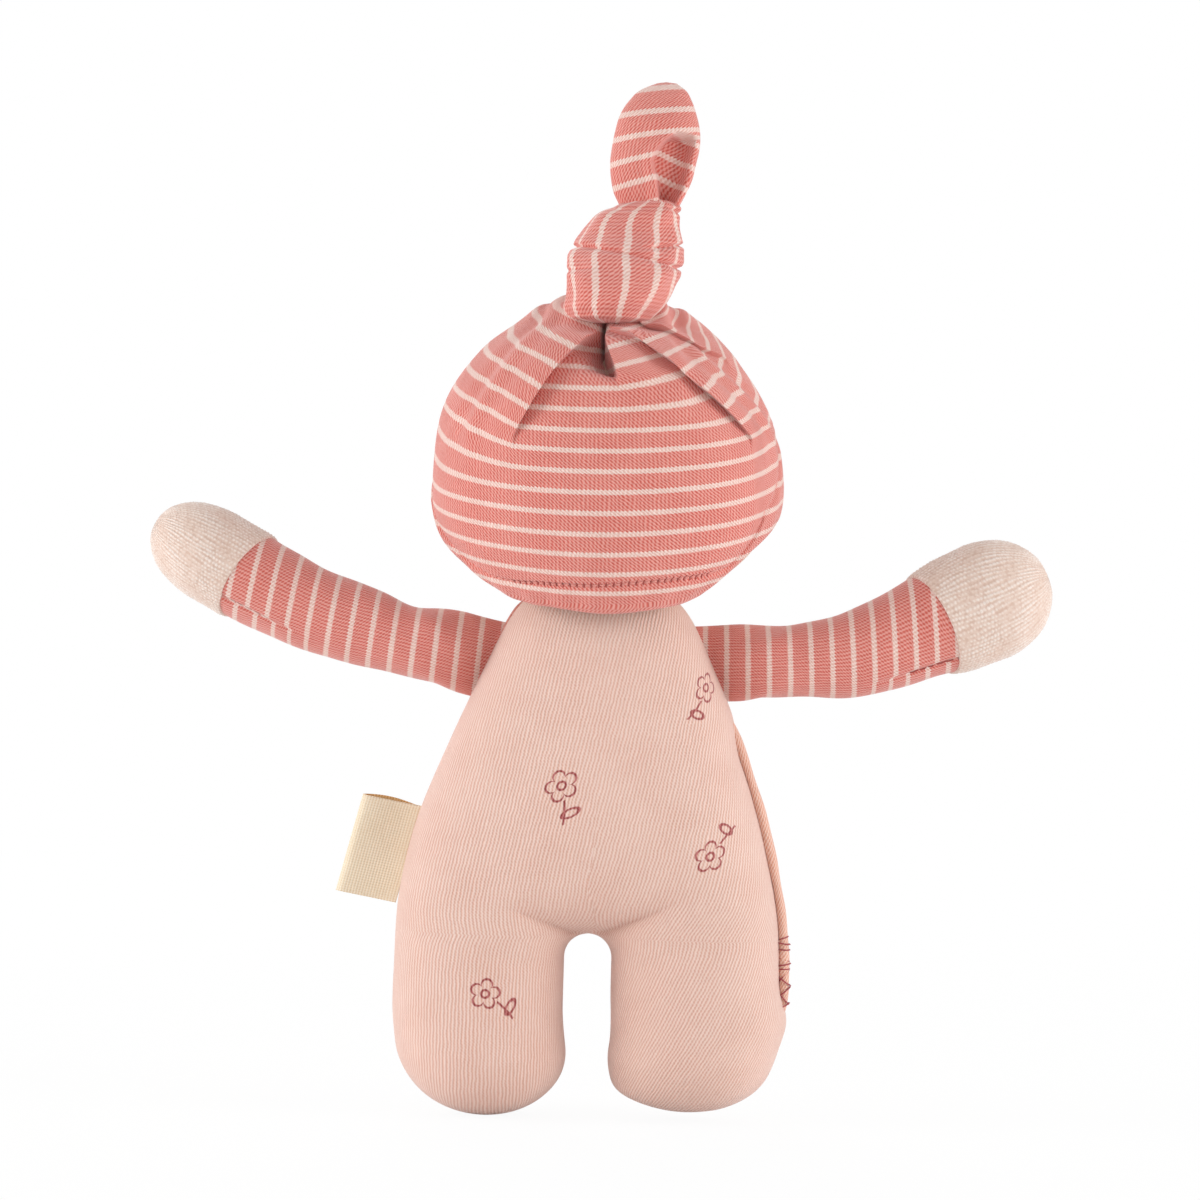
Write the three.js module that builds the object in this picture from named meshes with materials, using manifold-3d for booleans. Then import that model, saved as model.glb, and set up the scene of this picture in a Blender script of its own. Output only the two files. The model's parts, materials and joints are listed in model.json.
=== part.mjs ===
// A soft grasping doll, standing upright, in millimetres. +Z is up, the doll faces -Y and its left side
// is +X. The origin is on the floor, midway between the feet.

import * as THREE from "three";
import { mergeVertices } from "three/addons/utils/BufferGeometryUtils.js";
import Module from "manifold-3d";

const wasm = await Module();
wasm.setup();

// Cloth and clearances
const clothThickness = 1.0;
const seamGap = 0.3;
const foldGap = 0.5;

// Body: two panels sewn at the sides, with half width and half depth at each height; the neck folds at a
// rise above the middle of the shoulder seam
const crotchHeight = 40.5;
const crotchHalfDepth = 12;
const hipHeight = 47;
const hipHalfWidth = 41.2;
const hipHalfDepth = 22.8;
const bellyHeight = 60;
const bellyHalfWidth = 38.6;
const bellyHalfDepth = 25;
const chestHeight = 80;
const chestHalfWidth = 31;
const chestHalfDepth = 21.2;
const neckRise = 2.5;
const neckHalfWidth = 21.8;
const neckHalfDepth = 17;

// Legs: each folds at a slanting crease that rises from the crotch to the side seam
const hipFoldTilt = 21;
const hipFoldReach = 21.8;
const hipFoldHalfWidth = 19.2;
const hipFoldHalfDepth = 17.2;
const hipSwing = 20;
const thighHeight = 33.5;
const thighTilt = 9;
const thighCentre = 23;
const thighHalfWidth = 18.9;
const thighHalfDepth = 18.4;
const legCentre = 23.6;
const legHalfWidth = 18.5;
const legHalfDepth = 19;
const ankleHeight = 15;
const soleCut = 0.5;
const footSquareness = 3;

// Arms: sewn flat into the side seam, then round, then swelling into the hand
const shoulderHeight = 97.5;
const shoulderSeamLength = 19;
const shoulderSwing = 50;
const armRootHalfDepth = 0.6;
const armRootHalfHeight = 9.4;
const armFlareLength = 14;
const armHalfHeight = 9.2;
const armHalfDepth = 8.8;
const wristLength = 48;
const wristHalfHeight = 10.3;
const wristHalfDepth = 10;
const palmLength = 61;
const palmHalfHeight = 12.9;
const palmHalfDepth = 11.3;
const armLength = 75.5;
const leftArmRise = 11;
const leftArmCurl = 11;
const rightArmRise = 3.6;
const rightArmCurl = 28;

// Head, an egg wider below its middle, which is a rise above the neck fold, and the hat drawn over it with
// its hem a drop below that middle at the sides
const headRise = 32;
const headForward = 0.7;
const headHalfWidth = 35.4;
const headHalfDepth = 32;
const headBelow = 23.7;
const headAbove = 38.5;
const hatThickness = 1.1;
const hatGather = 2.5;
const hatPleat = 1.2;
const hemDrop = 7;
const hemTilt = 38;

// Knot of the hat, whose base is a rise above the head's middle, and the tail that comes out of it
const knotRise = 36;
const knotLength = 26;
const knotOffset = -1.2;
const knotLean = 6;
const knotHalfWidth = 12.2;
const knotDepthShare = 0.86;
const knotNeckHalfWidth = 9;
const knotTopHalfWidth = 6;
const knotCrease = 14.5;
const knotCreaseDepth = 1.2;
const knotLobe = 4.5;
const tailLength = 24;
const tailWidest = 11;
const tailLean = 8;
const tailRootHalfWidth = 6.8;
const tailRootHalfDepth = 2;
const tailHalfWidth = 9.3;
const tailHalfDepth = 5.2;

// Folded ribbon label in the left side seam
const labelHeight = 57.5;
const labelWidth = 20.4;
const labelReach = 11.5;
const ribbonThickness = 0.45;
const labelRootHalfDepth = 0.55;
const labelLoopHalfDepth = 1.4;

// Rattle capsule in the middle of the filling, with three loose beads
const rattleHeight = 79;
const rattleRadius = 12.5;
const rattleWall = 1.2;
const rattleRimReach = 1;
const rattleRimHeight = 0.8;
const beadRadius = 2.4;
const beadSpacing = 5.2;

// Facets round a section, and along a curved length
const torsoFacets = 22;
const limbFacets = 14;
const headFacets = 22;
const knotFacets = 14;
const roundSteps = 4;
const roundStep = 14;
const roundEnd = 80;
const seamSamples = 8;
const beadFacets = 10;

const side = { left: 1, right: -1 };
const xAxis = new THREE.Vector3(1, 0, 0);
const yAxis = new THREE.Vector3(0, 1, 0);
const radians = THREE.MathUtils.degToRad;

// A direction in the XZ plane, turned from sideways towards up, on the left or right of the doll.
function slanted(way, angle) {
  return new THREE.Vector3(way * Math.cos(angle), 0, Math.sin(angle));
}

// The same turn applied to the upward direction.
function upright(way, angle) {
  return new THREE.Vector3(-way * Math.sin(angle), 0, Math.cos(angle));
}

// A closed oval of points about a centre, with its half width along one direction and half depth along Y.
function oval(centre, across, halfWidth, halfDepth, facets) {
  return Array.from({ length: facets }, (_, i) => {
    const turn = (2 * Math.PI * i) / facets;
    const point = centre.clone().addScaledVector(across, halfWidth * Math.cos(turn));
    return point.addScaledVector(yAxis, halfDepth * Math.sin(turn));
  });
}

// Smooth run through stations of [half width, half depth, place], as points.
function smoothRun(stations, steps) {
  const points = stations.map((station) => new THREE.Vector3(...station));
  return new THREE.CatmullRomCurve3(points, false, "centripetal").getPoints(steps);
}

// Angles from one end of an arc to the other, in equal steps, both ends included.
function arcSteps(from, to, steps) {
  return Array.from({ length: steps + 1 }, (_, i) => radians(from + ((to - from) * i) / steps));
}

// How many steps a round takes between two angles.
function roundCount(from, to) {
  return Math.round(Math.abs(to - from) / roundStep);
}

// A solid of triangles on points, turned to face outwards.
function solidOf(points, faces) {
  let volume = 0;
  for (let i = 0; i < faces.length; i += 3) {
    const [a, b, c] = faces.slice(i, i + 3).map((index) => points[index]);
    volume += a.dot(b.clone().cross(c));
  }
  const turned = volume < 0 ? faces.slice().reverse() : faces;
  const vertProperties = new Float32Array(points.flatMap((point) => point.toArray()));
  return new wasm.Manifold(new wasm.Mesh({ numProp: 3, vertProperties, triVerts: new Uint32Array(turned) }));
}

// A closed loft through rings of equal count, each end closed by a fan about its middle.
function loft(rings) {
  const count = rings[0].length;
  const middle = (ring) => ring.reduce((sum, p) => sum.add(p), new THREE.Vector3()).divideScalar(count);
  const points = [...rings.flat(), middle(rings[0]), middle(rings.at(-1))];
  const start = rings.length * count;
  const last = start - count;
  const faces = [];
  for (let j = 0; j < count; j++) {
    const k = (j + 1) % count;
    faces.push(start, k, j, start + 1, last + j, last + k);
    for (let low = 0; low < last; low += count) {
      const high = low + count;
      faces.push(low + j, low + k, high + k, low + j, high + k, high + j);
    }
  }
  return solidOf(points, faces);
}

// A solid from one of the ready geometry classes.
function solidFrom(geometry) {
  const bare = geometry.clone();
  bare.deleteAttribute("normal");
  bare.deleteAttribute("uv");
  const merged = mergeVertices(bare, 1e-4);
  const position = merged.getAttribute("position");
  const points = Array.from({ length: position.count }, (_, i) =>
    new THREE.Vector3().fromBufferAttribute(position, i));
  const index = Array.from(merged.getIndex().array);
  const faces = [];
  for (let i = 0; i < index.length; i += 3) {
    const corners = index.slice(i, i + 3);
    if (new Set(corners).size === 3) faces.push(...corners);
  }
  return solidOf(points, faces);
}

// The part of a solid on one side of the plane through a point; the normal points to what is kept.
function keep(solid, normal, point) {
  return solid.trimByPlane(normal.toArray(), normal.dot(point));
}

// The front or back half of a solid, less half the seam gap.
function halfOf(solid, way) {
  return solid.trimByPlane([0, way, 0], seamGap / 2);
}

// A moving body's group, at its pivot.
function bodyAt(parent, pivot) {
  const group = new THREE.Group();
  group.position.copy(pivot).sub(parent.getWorldPosition(new THREE.Vector3()));
  parent.add(group);
  group.updateWorldMatrix(true, false);
  return group;
}

// Adds a solid, given in the doll's own frame, to a body's group as a named mesh.
function addPiece(group, name, solid, finish) {
  const { vertProperties, triVerts } = solid.getMesh();
  const geometry = new THREE.BufferGeometry();
  geometry.setAttribute("position", new THREE.BufferAttribute(vertProperties, 3));
  geometry.setIndex(new THREE.BufferAttribute(triVerts, 1));
  const pivot = group.getWorldPosition(new THREE.Vector3());
  geometry.translate(-pivot.x, -pivot.y, -pivot.z);
  geometry.computeVertexNormals();
  const mesh = new THREE.Mesh(geometry, new THREE.MeshStandardMaterial({ metalness: 0, ...finish }));
  mesh.name = name;
  group.add(mesh);
}

// Finishes
const paleJersey = { color: 0xeccbbd, roughness: 0.9 };
const stripedJersey = { color: 0xdd8a80, roughness: 0.9 };
const loopTerry = { color: 0xecd8cc, roughness: 1 };
const skinTricot = { color: 0xf0cdb4, roughness: 0.85 };
const wovenRibbon = { color: 0xefe2cb, roughness: 0.7 };
const fibreFilling = { color: 0xf4f2ec, roughness: 1 };
const rattlePlastic = { color: 0xe6e6e2, roughness: 0.45 };
const beadPlastic = { color: 0xc9cdd2, roughness: 0.4 };

const doll = new THREE.Group();
const torso = bodyAt(doll, new THREE.Vector3());
const lining = clothThickness + seamGap;
const neckHeight = shoulderHeight + neckRise;
const headMiddle = neckHeight + headRise;

// Body profile from below the crotch to the neck fold, as half width, half depth and height
const crotchDrop = hipHeight - crotchHeight;
const bodyProfile = smoothRun([
  [hipHalfWidth, crotchHalfDepth, crotchHeight - crotchDrop],
  [hipHalfWidth, hipHalfDepth, hipHeight],
  [bellyHalfWidth, bellyHalfDepth, bellyHeight],
  [chestHalfWidth, chestHalfDepth, chestHeight],
  [neckHalfWidth, neckHalfDepth, neckHeight],
], 12);

// Half width of the body at a height, on the profile or on the rounded neck above it.
function bodySide(height) {
  if (height >= neckHeight) {
    return neckHalfWidth * Math.sqrt(1 - ((height - neckHeight) / neckHalfDepth) ** 2);
  }
  const upper = Math.max(1, bodyProfile.findIndex((point) => point.z >= height));
  const [a, b] = [bodyProfile[upper - 1], bodyProfile[upper]];
  return a.x + ((b.x - a.x) * (height - a.z)) / (b.z - a.z);
}

// The neck's round: ovals above the neck fold, on an ellipsoid that turns freely about X.
function neckRound(inset, from) {
  return arcSteps(from, roundEnd, roundCount(from, roundEnd)).map((turn) => {
    const [wide, deep] = [neckHalfWidth - inset, neckHalfDepth - inset];
    const centre = new THREE.Vector3(0, 0, neckHeight + deep * Math.sin(turn));
    return oval(centre, xAxis, wide * Math.cos(turn), deep * Math.cos(turn), torsoFacets);
  });
}

function bodyLoft(inset) {
  const trunk = bodyProfile.slice(0, -1).map(({ x, y, z }) =>
    oval(new THREE.Vector3(0, 0, z), xAxis, x - inset, y - inset, torsoFacets));
  return loft([...trunk, ...neckRound(inset, 0)]);
}

// Hip fold of one side: its middle, its direction along the crease and the upward normal of the fold plane.
const crotch = new THREE.Vector3(0, 0, crotchHeight);
const hipFold = (way) => {
  const along = slanted(way, radians(hipFoldTilt));
  const normal = upright(way, radians(hipFoldTilt));
  return { along, normal, middle: crotch.clone().addScaledVector(along, hipFoldReach) };
};

// The round on top of the leg: ovals on an ellipsoid about the crease, down to the swing below the fold.
function hipRound(way, inset, from, to) {
  const { along, normal, middle } = hipFold(way);
  return arcSteps(from, to, roundCount(from, to)).map((turn) => {
    const [wide, deep] = [hipFoldHalfWidth - inset, hipFoldHalfDepth - inset];
    const centre = middle.clone().addScaledVector(normal, deep * Math.sin(turn));
    return oval(centre, along, wide * Math.cos(turn), deep * Math.cos(turn), limbFacets);
  });
}

function legLoft(way, inset) {
  const level = slanted(way, 0);
  const thigh = oval(new THREE.Vector3(way * thighCentre, 0, thighHeight), slanted(way, radians(thighTilt)),
    thighHalfWidth - inset, thighHalfDepth - inset, limbFacets);
  const [wide, deep] = [legHalfWidth - inset, legHalfDepth - inset];
  const calfHeight = (thighHeight + ankleHeight) / 2;
  const calf = oval(new THREE.Vector3(way * legCentre, 0, calfHeight), level, wide, deep, limbFacets);
  const foot = arcSteps(0, roundEnd, roundSteps + 1).map((turn) => {
    const drop = Math.sin(turn);
    const sole = (ankleHeight + soleCut - inset) * drop;
    const centre = new THREE.Vector3(way * legCentre, 0, ankleHeight - sole);
    const square = (1 - drop ** footSquareness) ** (1 / footSquareness);
    return oval(centre, level, wide * Math.cos(turn), deep * square, limbFacets);
  });
  return loft([...hipRound(way, inset, roundEnd, -hipSwing), thigh, calf, ...foot]);
}

// What the legs take out of the body: all below the fold planes, and the rounds that turn in it.
function cutForLegs(solid) {
  let cut = solid;
  for (const way of Object.values(side)) {
    const { normal } = hipFold(way);
    cut = keep(cut, normal, crotch).subtract(loft(hipRound(way, -foldGap, roundEnd, -roundEnd)));
  }
  return cut;
}

// Points on a round profile between two angles, as distance from the axis and height.
function roundProfile(radius, from, to, steps, base) {
  return arcSteps(from, to, steps).map((turn) =>
    new THREE.Vector2(Math.max(0, radius * Math.cos(turn)), base + radius * Math.sin(turn)));
}

const rattleCentre = new THREE.Vector3(0, 0, rattleHeight);
const standUp = new THREE.Matrix4().makeRotationX(Math.PI / 2);

// Half of the rattle capsule: a cup with a rim, drawn from its inside pole round the rim to its outside pole.
function rattleHalf(way) {
  const base = seamGap / 2;
  const rimRadius = rattleRadius + rattleRimReach;
  const rimAngle = THREE.MathUtils.radToDeg(Math.asin(rattleRimHeight / rattleRadius));
  const profile = [
    ...roundProfile(rattleRadius - rattleWall, 90, 0, roundSteps, base),
    new THREE.Vector2(rimRadius, base),
    new THREE.Vector2(rimRadius, base + rattleRimHeight),
    ...roundProfile(rattleRadius, rimAngle, 90, roundSteps, base),
  ];
  const geometry = new THREE.LatheGeometry(profile, limbFacets).applyMatrix4(standUp);
  if (way < 0) geometry.rotateX(Math.PI);
  return solidFrom(geometry.translate(...rattleCentre.toArray()));
}

// The hollow that holds the capsule, clear of it all round.
function rattleHollow() {
  const reach = rattleRadius + seamGap;
  const profile = roundProfile(reach, -90, 90, 2 * roundSteps, 0);
  const bulge = solidFrom(new THREE.LatheGeometry(profile, limbFacets).applyMatrix4(standUp));
  const rimRadius = reach + rattleRimReach;
  const rimHeight = 2 * (rattleRimHeight + seamGap);
  const disc = new THREE.CylinderGeometry(rimRadius, rimRadius, rimHeight, limbFacets);
  return bulge.add(solidFrom(disc.applyMatrix4(standUp))).translate(rattleCentre.toArray());
}

// Body panels, filling and rattle
const bodyShell = cutForLegs(bodyLoft(0).subtract(bodyLoft(clothThickness)));
const bodyFilling = cutForLegs(bodyLoft(lining)).subtract(rattleHollow());
for (const [name, way] of [["front", -1], ["back", 1]]) {
  addPiece(torso, `torso_${name}_panel`, halfOf(bodyShell, way), paleJersey);
  addPiece(torso, `torso_${name}_filling`, halfOf(bodyFilling, way), fibreFilling);
}
addPiece(torso, "rattle_upper_shell", rattleHalf(1), rattlePlastic);
addPiece(torso, "rattle_lower_shell", rattleHalf(-1), rattlePlastic);

// Beads lie at the bottom of the capsule, side by side from front to back, and roll about its middle
const beadOrbit = rattleRadius - rattleWall - beadRadius - seamGap;
for (const [name, place] of [["front", -1], ["middle", 0], ["back", 1]]) {
  const depth = place * beadSpacing;
  const bead = new THREE.SphereGeometry(beadRadius, beadFacets, beadFacets / 2);
  bead.translate(0, depth, rattleHeight - Math.sqrt(beadOrbit ** 2 - depth ** 2));
  addPiece(bodyAt(torso, rattleCentre), `rattle_bead_${name}`, solidFrom(bead), beadPlastic);
}

// Legs: front and back panels, open at the top inside the hip fold, over a filling
for (const [name, way] of Object.entries(side)) {
  const { normal, middle } = hipFold(way);
  const leg = bodyAt(torso, middle);
  const tuck = middle.clone().addScaledVector(normal, hipFoldHalfDepth * Math.sin(radians(hipSwing)));
  const shell = legLoft(way, 0).subtract(legLoft(way, clothThickness)).trimByPlane([0, 0, 1], 0);
  const panels = keep(shell, normal.clone().negate(), tuck);
  addPiece(leg, `${name}_leg_front_panel`, halfOf(panels, -1), paleJersey);
  addPiece(leg, `${name}_leg_back_panel`, halfOf(panels, 1), paleJersey);
  addPiece(leg, `${name}_leg_filling`, legLoft(way, lining), fibreFilling);
}

// A straight seam line on the body's side between two heights, just clear of the bulging cloth.
function seamLine(way, height, length, clearance) {
  const [low, high] = [height - length / 2, height + length / 2];
  const bottom = new THREE.Vector2(bodySide(low), low);
  const run = new THREE.Vector2(bodySide(high), high).sub(bottom).normalize();
  const out = new THREE.Vector2(run.y, -run.x);
  const heights = Array.from({ length: seamSamples + 1 }, (_, i) => low + (length * i) / seamSamples);
  const bulges = heights.map((z) => new THREE.Vector2(bodySide(z), z).sub(bottom).dot(out));
  const middle = bottom.clone().addScaledVector(run, (height - low) / run.y);
  middle.addScaledVector(out, Math.max(...bulges) + clearance);
  return { middle: new THREE.Vector3(way * middle.x, 0, middle.y), lean: Math.atan2(-run.x, run.y) };
}

// Middle line of an arm: an arc in the XZ plane that leaves the seam at the rise and turns by the curl.
function armFrame(way, rise, curl, seam, length) {
  const [start, bend] = [radians(rise), radians(curl)];
  const elevation = start + (bend * length) / armLength;
  const radius = armLength / bend;
  const centre = seam.middle.clone();
  centre.x += way * radius * (Math.sin(elevation) - Math.sin(start));
  centre.z += radius * (Math.cos(start) - Math.cos(elevation));
  const settled = Math.min(1, length / armFlareLength);
  const turn = THREE.MathUtils.lerp(seam.lean, elevation, settled);
  return { centre, across: upright(way, turn), forward: slanted(way, elevation) };
}

function armLoft(way, rise, curl, seam, inset) {
  const flare = (armHalfDepth - armRootHalfDepth) / armFlareLength;
  const start = Math.max(0, (inset - armRootHalfDepth / 2) / flare);
  const root = new THREE.Vector3(armRootHalfHeight, armRootHalfDepth + flare * start, start);
  const limb = smoothRun([
    [armHalfHeight, armHalfDepth, armFlareLength],
    [armHalfHeight, armHalfDepth, (armFlareLength + wristLength) / 2],
    [wristHalfHeight, wristHalfDepth, wristLength],
    [palmHalfHeight, palmHalfDepth, palmLength],
  ], 2 * roundSteps);
  const tipReach = armLength - palmLength - inset;
  const tip = arcSteps(0, roundEnd, roundSteps).slice(1).map((turn) => new THREE.Vector3(
    (palmHalfHeight - inset) * Math.cos(turn), (palmHalfDepth - inset) * Math.cos(turn),
    palmLength + tipReach * Math.sin(turn)));
  const inner = [root, ...limb].map(({ x, y, z }) => new THREE.Vector3(x - inset, y - inset, z));
  const rings = [...inner, ...tip].map(({ x, y, z }) => {
    const { centre, across } = armFrame(way, rise, curl, seam, z);
    return oval(centre, across, x, y, limbFacets);
  });
  return loft(rings);
}

// Arms: a sleeve and a mitt that meet at the wrist, each over its own filling
const armPoses = { left: [leftArmRise, leftArmCurl], right: [rightArmRise, rightArmCurl] };
const shoulderClearance = seamGap + armRootHalfDepth * Math.sin(radians(shoulderSwing));
for (const [name, way] of Object.entries(side)) {
  const [rise, curl] = armPoses[name];
  const seam = seamLine(way, shoulderHeight, shoulderSeamLength, shoulderClearance);
  const arm = bodyAt(torso, seam.middle);
  const { centre, forward } = armFrame(way, rise, curl, seam, wristLength);
  const back = forward.clone().negate();
  const beforeWrist = centre.clone().addScaledVector(back, seamGap / 2);
  const pastWrist = centre.clone().addScaledVector(forward, seamGap / 2);
  const skin = armLoft(way, rise, curl, seam, 0).subtract(armLoft(way, rise, curl, seam, clothThickness));
  const filling = armLoft(way, rise, curl, seam, lining);
  addPiece(arm, `${name}_sleeve`, keep(skin, back, beforeWrist), stripedJersey);
  addPiece(arm, `${name}_arm_filling`, keep(filling, back, beforeWrist), fibreFilling);
  addPiece(arm, `${name}_hand_mitt`, keep(skin, forward, pastWrist), loopTerry);
  addPiece(arm, `${name}_hand_filling`, keep(filling, forward, pastWrist), fibreFilling);
}

// An egg about the head's middle, grown by an amount all round and by a rise at the top, where every
// other line of points may draw in to form the pleats of a gathered crown.
function eggLoft(grow, rise = 0, pleat = 0) {
  const rings = arcSteps(-roundEnd, roundEnd, roundCount(-roundEnd, roundEnd)).map((turn) => {
    const reach = (turn < 0 ? headBelow : headAbove + rise) + grow;
    const centre = new THREE.Vector3(0, -headForward, headMiddle + reach * Math.sin(turn));
    const share = Math.cos(turn);
    const [wide, deep] = [(headHalfWidth + grow) * share, (headHalfDepth + grow) * share];
    const ring = oval(centre, xAxis, wide, deep, headFacets);
    const drawn = pleat * Math.max(0, Math.sin(turn)) ** 4;
    return ring.map((point, i) => (i % 2 ? point.lerp(centre, drawn / point.distanceTo(centre)) : point));
  });
  return loft(rings);
}

// Head panels and filling, hollowed below where the neck's round turns, and the hat above its slanting hem
const neckPivot = new THREE.Vector3(0, 0, neckHeight);
const head = bodyAt(torso, neckPivot);
const neckSocket = loft(neckRound(-foldGap, -roundEnd));
const headShell = eggLoft(0).subtract(eggLoft(-clothThickness)).subtract(neckSocket);
addPiece(head, "head_face_panel", halfOf(headShell, -1), skinTricot);
addPiece(head, "head_back_panel", halfOf(headShell, 1), skinTricot);
addPiece(head, "head_filling", eggLoft(-lining).subtract(neckSocket), fibreFilling);

const hemNormal = new THREE.Vector3(0, Math.sin(radians(hemTilt)), Math.cos(radians(hemTilt)));
const hemMiddle = new THREE.Vector3(0, 0, headMiddle - hemDrop);
const hatOuter = seamGap + hatThickness;
const hatShell = eggLoft(hatOuter, hatGather, hatPleat).subtract(eggLoft(seamGap));
addPiece(head, "hat_crown", keep(hatShell, hemNormal, hemMiddle), stripedJersey);

// Knot: a leaning barrel, cut to sit on the crown
const knotAxis = upright(side.left, radians(knotLean));
const knotFoot = new THREE.Vector3(knotOffset, 0, headMiddle + knotRise);
const knotAcross = new THREE.Vector3(knotAxis.z, 0, -knotAxis.x);
const knotStation = (halfWidth, place) => [halfWidth, halfWidth * knotDepthShare, place];
const knotRun = smoothRun([
  knotStation(knotNeckHalfWidth, 0),
  knotStation(knotHalfWidth, knotCrease - knotLobe),
  knotStation(knotHalfWidth - knotCreaseDepth, knotCrease),
  knotStation(knotHalfWidth - knotCreaseDepth / 2, knotCrease + knotLobe),
  knotStation(knotTopHalfWidth, knotLength),
], 10);
const knotSolid = loft(knotRun.map(({ x, y, z }) =>
  oval(knotFoot.clone().addScaledVector(knotAxis, z), knotAcross, x, y, knotFacets)));
addPiece(head, "hat_knot", knotSolid.subtract(eggLoft(hatOuter + seamGap, hatGather)), stripedJersey);

// Tail: a leaf whose rounded root turns on top of the knot
const tailPivot = knotFoot.clone().addScaledVector(knotAxis, knotLength + seamGap + tailRootHalfDepth);
const tail = bodyAt(head, tailPivot);
const tailAxis = upright(side.left, radians(tailLean));
const tailAcross = new THREE.Vector3(tailAxis.z, 0, -tailAxis.x);
const tailRoot = arcSteps(-roundEnd, 0, roundSteps - 1).map((turn) => new THREE.Vector3(
  tailRootHalfWidth, tailRootHalfDepth * Math.cos(turn), tailRootHalfDepth * Math.sin(turn)));
const tailLeaf = smoothRun([
  [tailRootHalfWidth, tailRootHalfDepth, 0],
  [tailHalfWidth, tailHalfDepth, tailWidest],
], 3).slice(1);
const tailTip = arcSteps(0, roundEnd, roundSteps).slice(1).map((turn) => new THREE.Vector3(
  tailHalfWidth * Math.cos(turn), tailHalfDepth * Math.cos(turn),
  tailWidest + (tailLength - tailWidest) * Math.sin(turn)));
const tailSolid = loft([...tailRoot, ...tailLeaf, ...tailTip].map(({ x, y, z }) =>
  oval(tailPivot.clone().addScaledVector(tailAxis, z), tailAcross, x, y, knotFacets)));
addPiece(tail, "hat_tail", tailSolid, stripedJersey);

// Label: a folded ribbon, a long drop outline with a drop-shaped hollow, swept along the seam
function dropOutline(outline, root, loop, start, end) {
  outline.moveTo(start, -root);
  outline.quadraticCurveTo((start + end) / 2, -root, end - loop, -loop);
  outline.absarc(end - loop, 0, loop, -Math.PI / 2, Math.PI / 2, false);
  outline.quadraticCurveTo((start + end) / 2, root, start, root);
  outline.absarc(start, 0, root, Math.PI / 2, (3 * Math.PI) / 2, false);
  return outline;
}

const labelSeam = seamLine(side.left, labelHeight, labelWidth, seamGap + labelRootHalfDepth);
const label = bodyAt(torso, labelSeam.middle);
const labelOutline = dropOutline(new THREE.Shape(), labelRootHalfDepth, labelLoopHalfDepth, 0, labelReach);
const hollowRoot = labelRootHalfDepth - ribbonThickness;
labelOutline.holes.push(dropOutline(new THREE.Path(), hollowRoot, labelLoopHalfDepth - ribbonThickness,
  hollowRoot, labelReach - ribbonThickness));
const sweep = { depth: labelWidth, bevelEnabled: false, curveSegments: roundSteps };
const ribbon = new THREE.ExtrudeGeometry(labelOutline, sweep);
ribbon.translate(0, 0, -labelWidth / 2).rotateY(-labelSeam.lean);
ribbon.translate(...labelSeam.middle.toArray());
addPiece(label, "woven_label", solidFrom(ribbon), wovenRibbon);

export default doll;
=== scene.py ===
"""Dresses a soft grasping doll: stuffed jersey suit, striped sleeves, terry mitts and a knotted striped hat.

Every surface is a numpy formula on a grid, in metres, in the doll's own frame: +Z is up, the doll faces -Y
and its left side is +X. Texture maps are in millimetres along the cloth, so a knit keeps its scale on every
piece.
"""

import json
import math
from collections import namedtuple

import bmesh
import bpy
import numpy as np
from bpy.props import FloatProperty, FloatVectorProperty, PointerProperty
from mathutils import Matrix, Vector


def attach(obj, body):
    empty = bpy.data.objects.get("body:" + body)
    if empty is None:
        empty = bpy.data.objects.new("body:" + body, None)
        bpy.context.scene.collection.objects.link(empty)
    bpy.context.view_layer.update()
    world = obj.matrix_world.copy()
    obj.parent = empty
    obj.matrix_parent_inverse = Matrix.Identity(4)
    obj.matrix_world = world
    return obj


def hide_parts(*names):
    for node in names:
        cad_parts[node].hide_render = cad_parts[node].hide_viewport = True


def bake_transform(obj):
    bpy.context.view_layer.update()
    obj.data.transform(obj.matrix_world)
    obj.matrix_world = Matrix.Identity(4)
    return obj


bl_info = {
    "name": "Grasping Doll",
    "version": (1, 0, 0),
    "blender": (4, 5, 0),
    "location": "View3D > Sidebar > Doll",
    "description": "Makes the cloth, stitching and finish of a stuffed grasping doll",
    "category": "Add Mesh",
}

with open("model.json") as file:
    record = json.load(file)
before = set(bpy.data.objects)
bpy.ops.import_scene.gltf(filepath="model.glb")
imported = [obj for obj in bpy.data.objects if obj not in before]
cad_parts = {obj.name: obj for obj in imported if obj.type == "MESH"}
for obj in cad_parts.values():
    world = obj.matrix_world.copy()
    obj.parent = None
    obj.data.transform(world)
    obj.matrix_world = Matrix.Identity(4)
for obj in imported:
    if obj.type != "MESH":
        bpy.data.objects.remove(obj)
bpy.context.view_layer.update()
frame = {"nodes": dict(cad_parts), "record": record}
JOINTS = {joint["name"]: joint for joint in frame["record"]["behaviour"]["joints"]}
SIDES = {"left": 1.0, "right": -1.0}
TINY = 1e-9
THREAD_WELD = 1e-6
THREAD_GUIDE = (0.31, 0.87, 0.39)


def mm(value):
    """Millimetres as metres."""
    return np.multiply(value, 0.001) if isinstance(value, (list, tuple, np.ndarray)) else value * 0.001


def srgb(red, green, blue):
    """A display colour of 0 to 255 as the linear colour that a shader takes."""
    shares = np.array([red, green, blue]) / 255.0
    linear = np.where(shares <= 0.04045, shares / 12.92, ((shares + 0.055) / 1.055) ** 2.4)
    return tuple(float(value) for value in linear)


def joint_place(name):
    """Pivot and unit axis of a joint of the frame, as two arrays."""
    joint = JOINTS[name]
    axis = np.array(joint["axis"], float)
    return np.array(joint["pos_m"], float), axis / np.linalg.norm(axis)


def number(name, description, default, **kind):
    """A plain number setting."""
    return FloatProperty(name=name, description=description, default=float(default), **kind)


def length(name, description, default):
    """A length setting, in metres."""
    return number(name, description, default, unit="LENGTH", precision=5)


def angle(name, description, degrees):
    """An angle setting, given in degrees and held in radians."""
    return number(name, description, math.radians(degrees), subtype="ANGLE")


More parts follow.
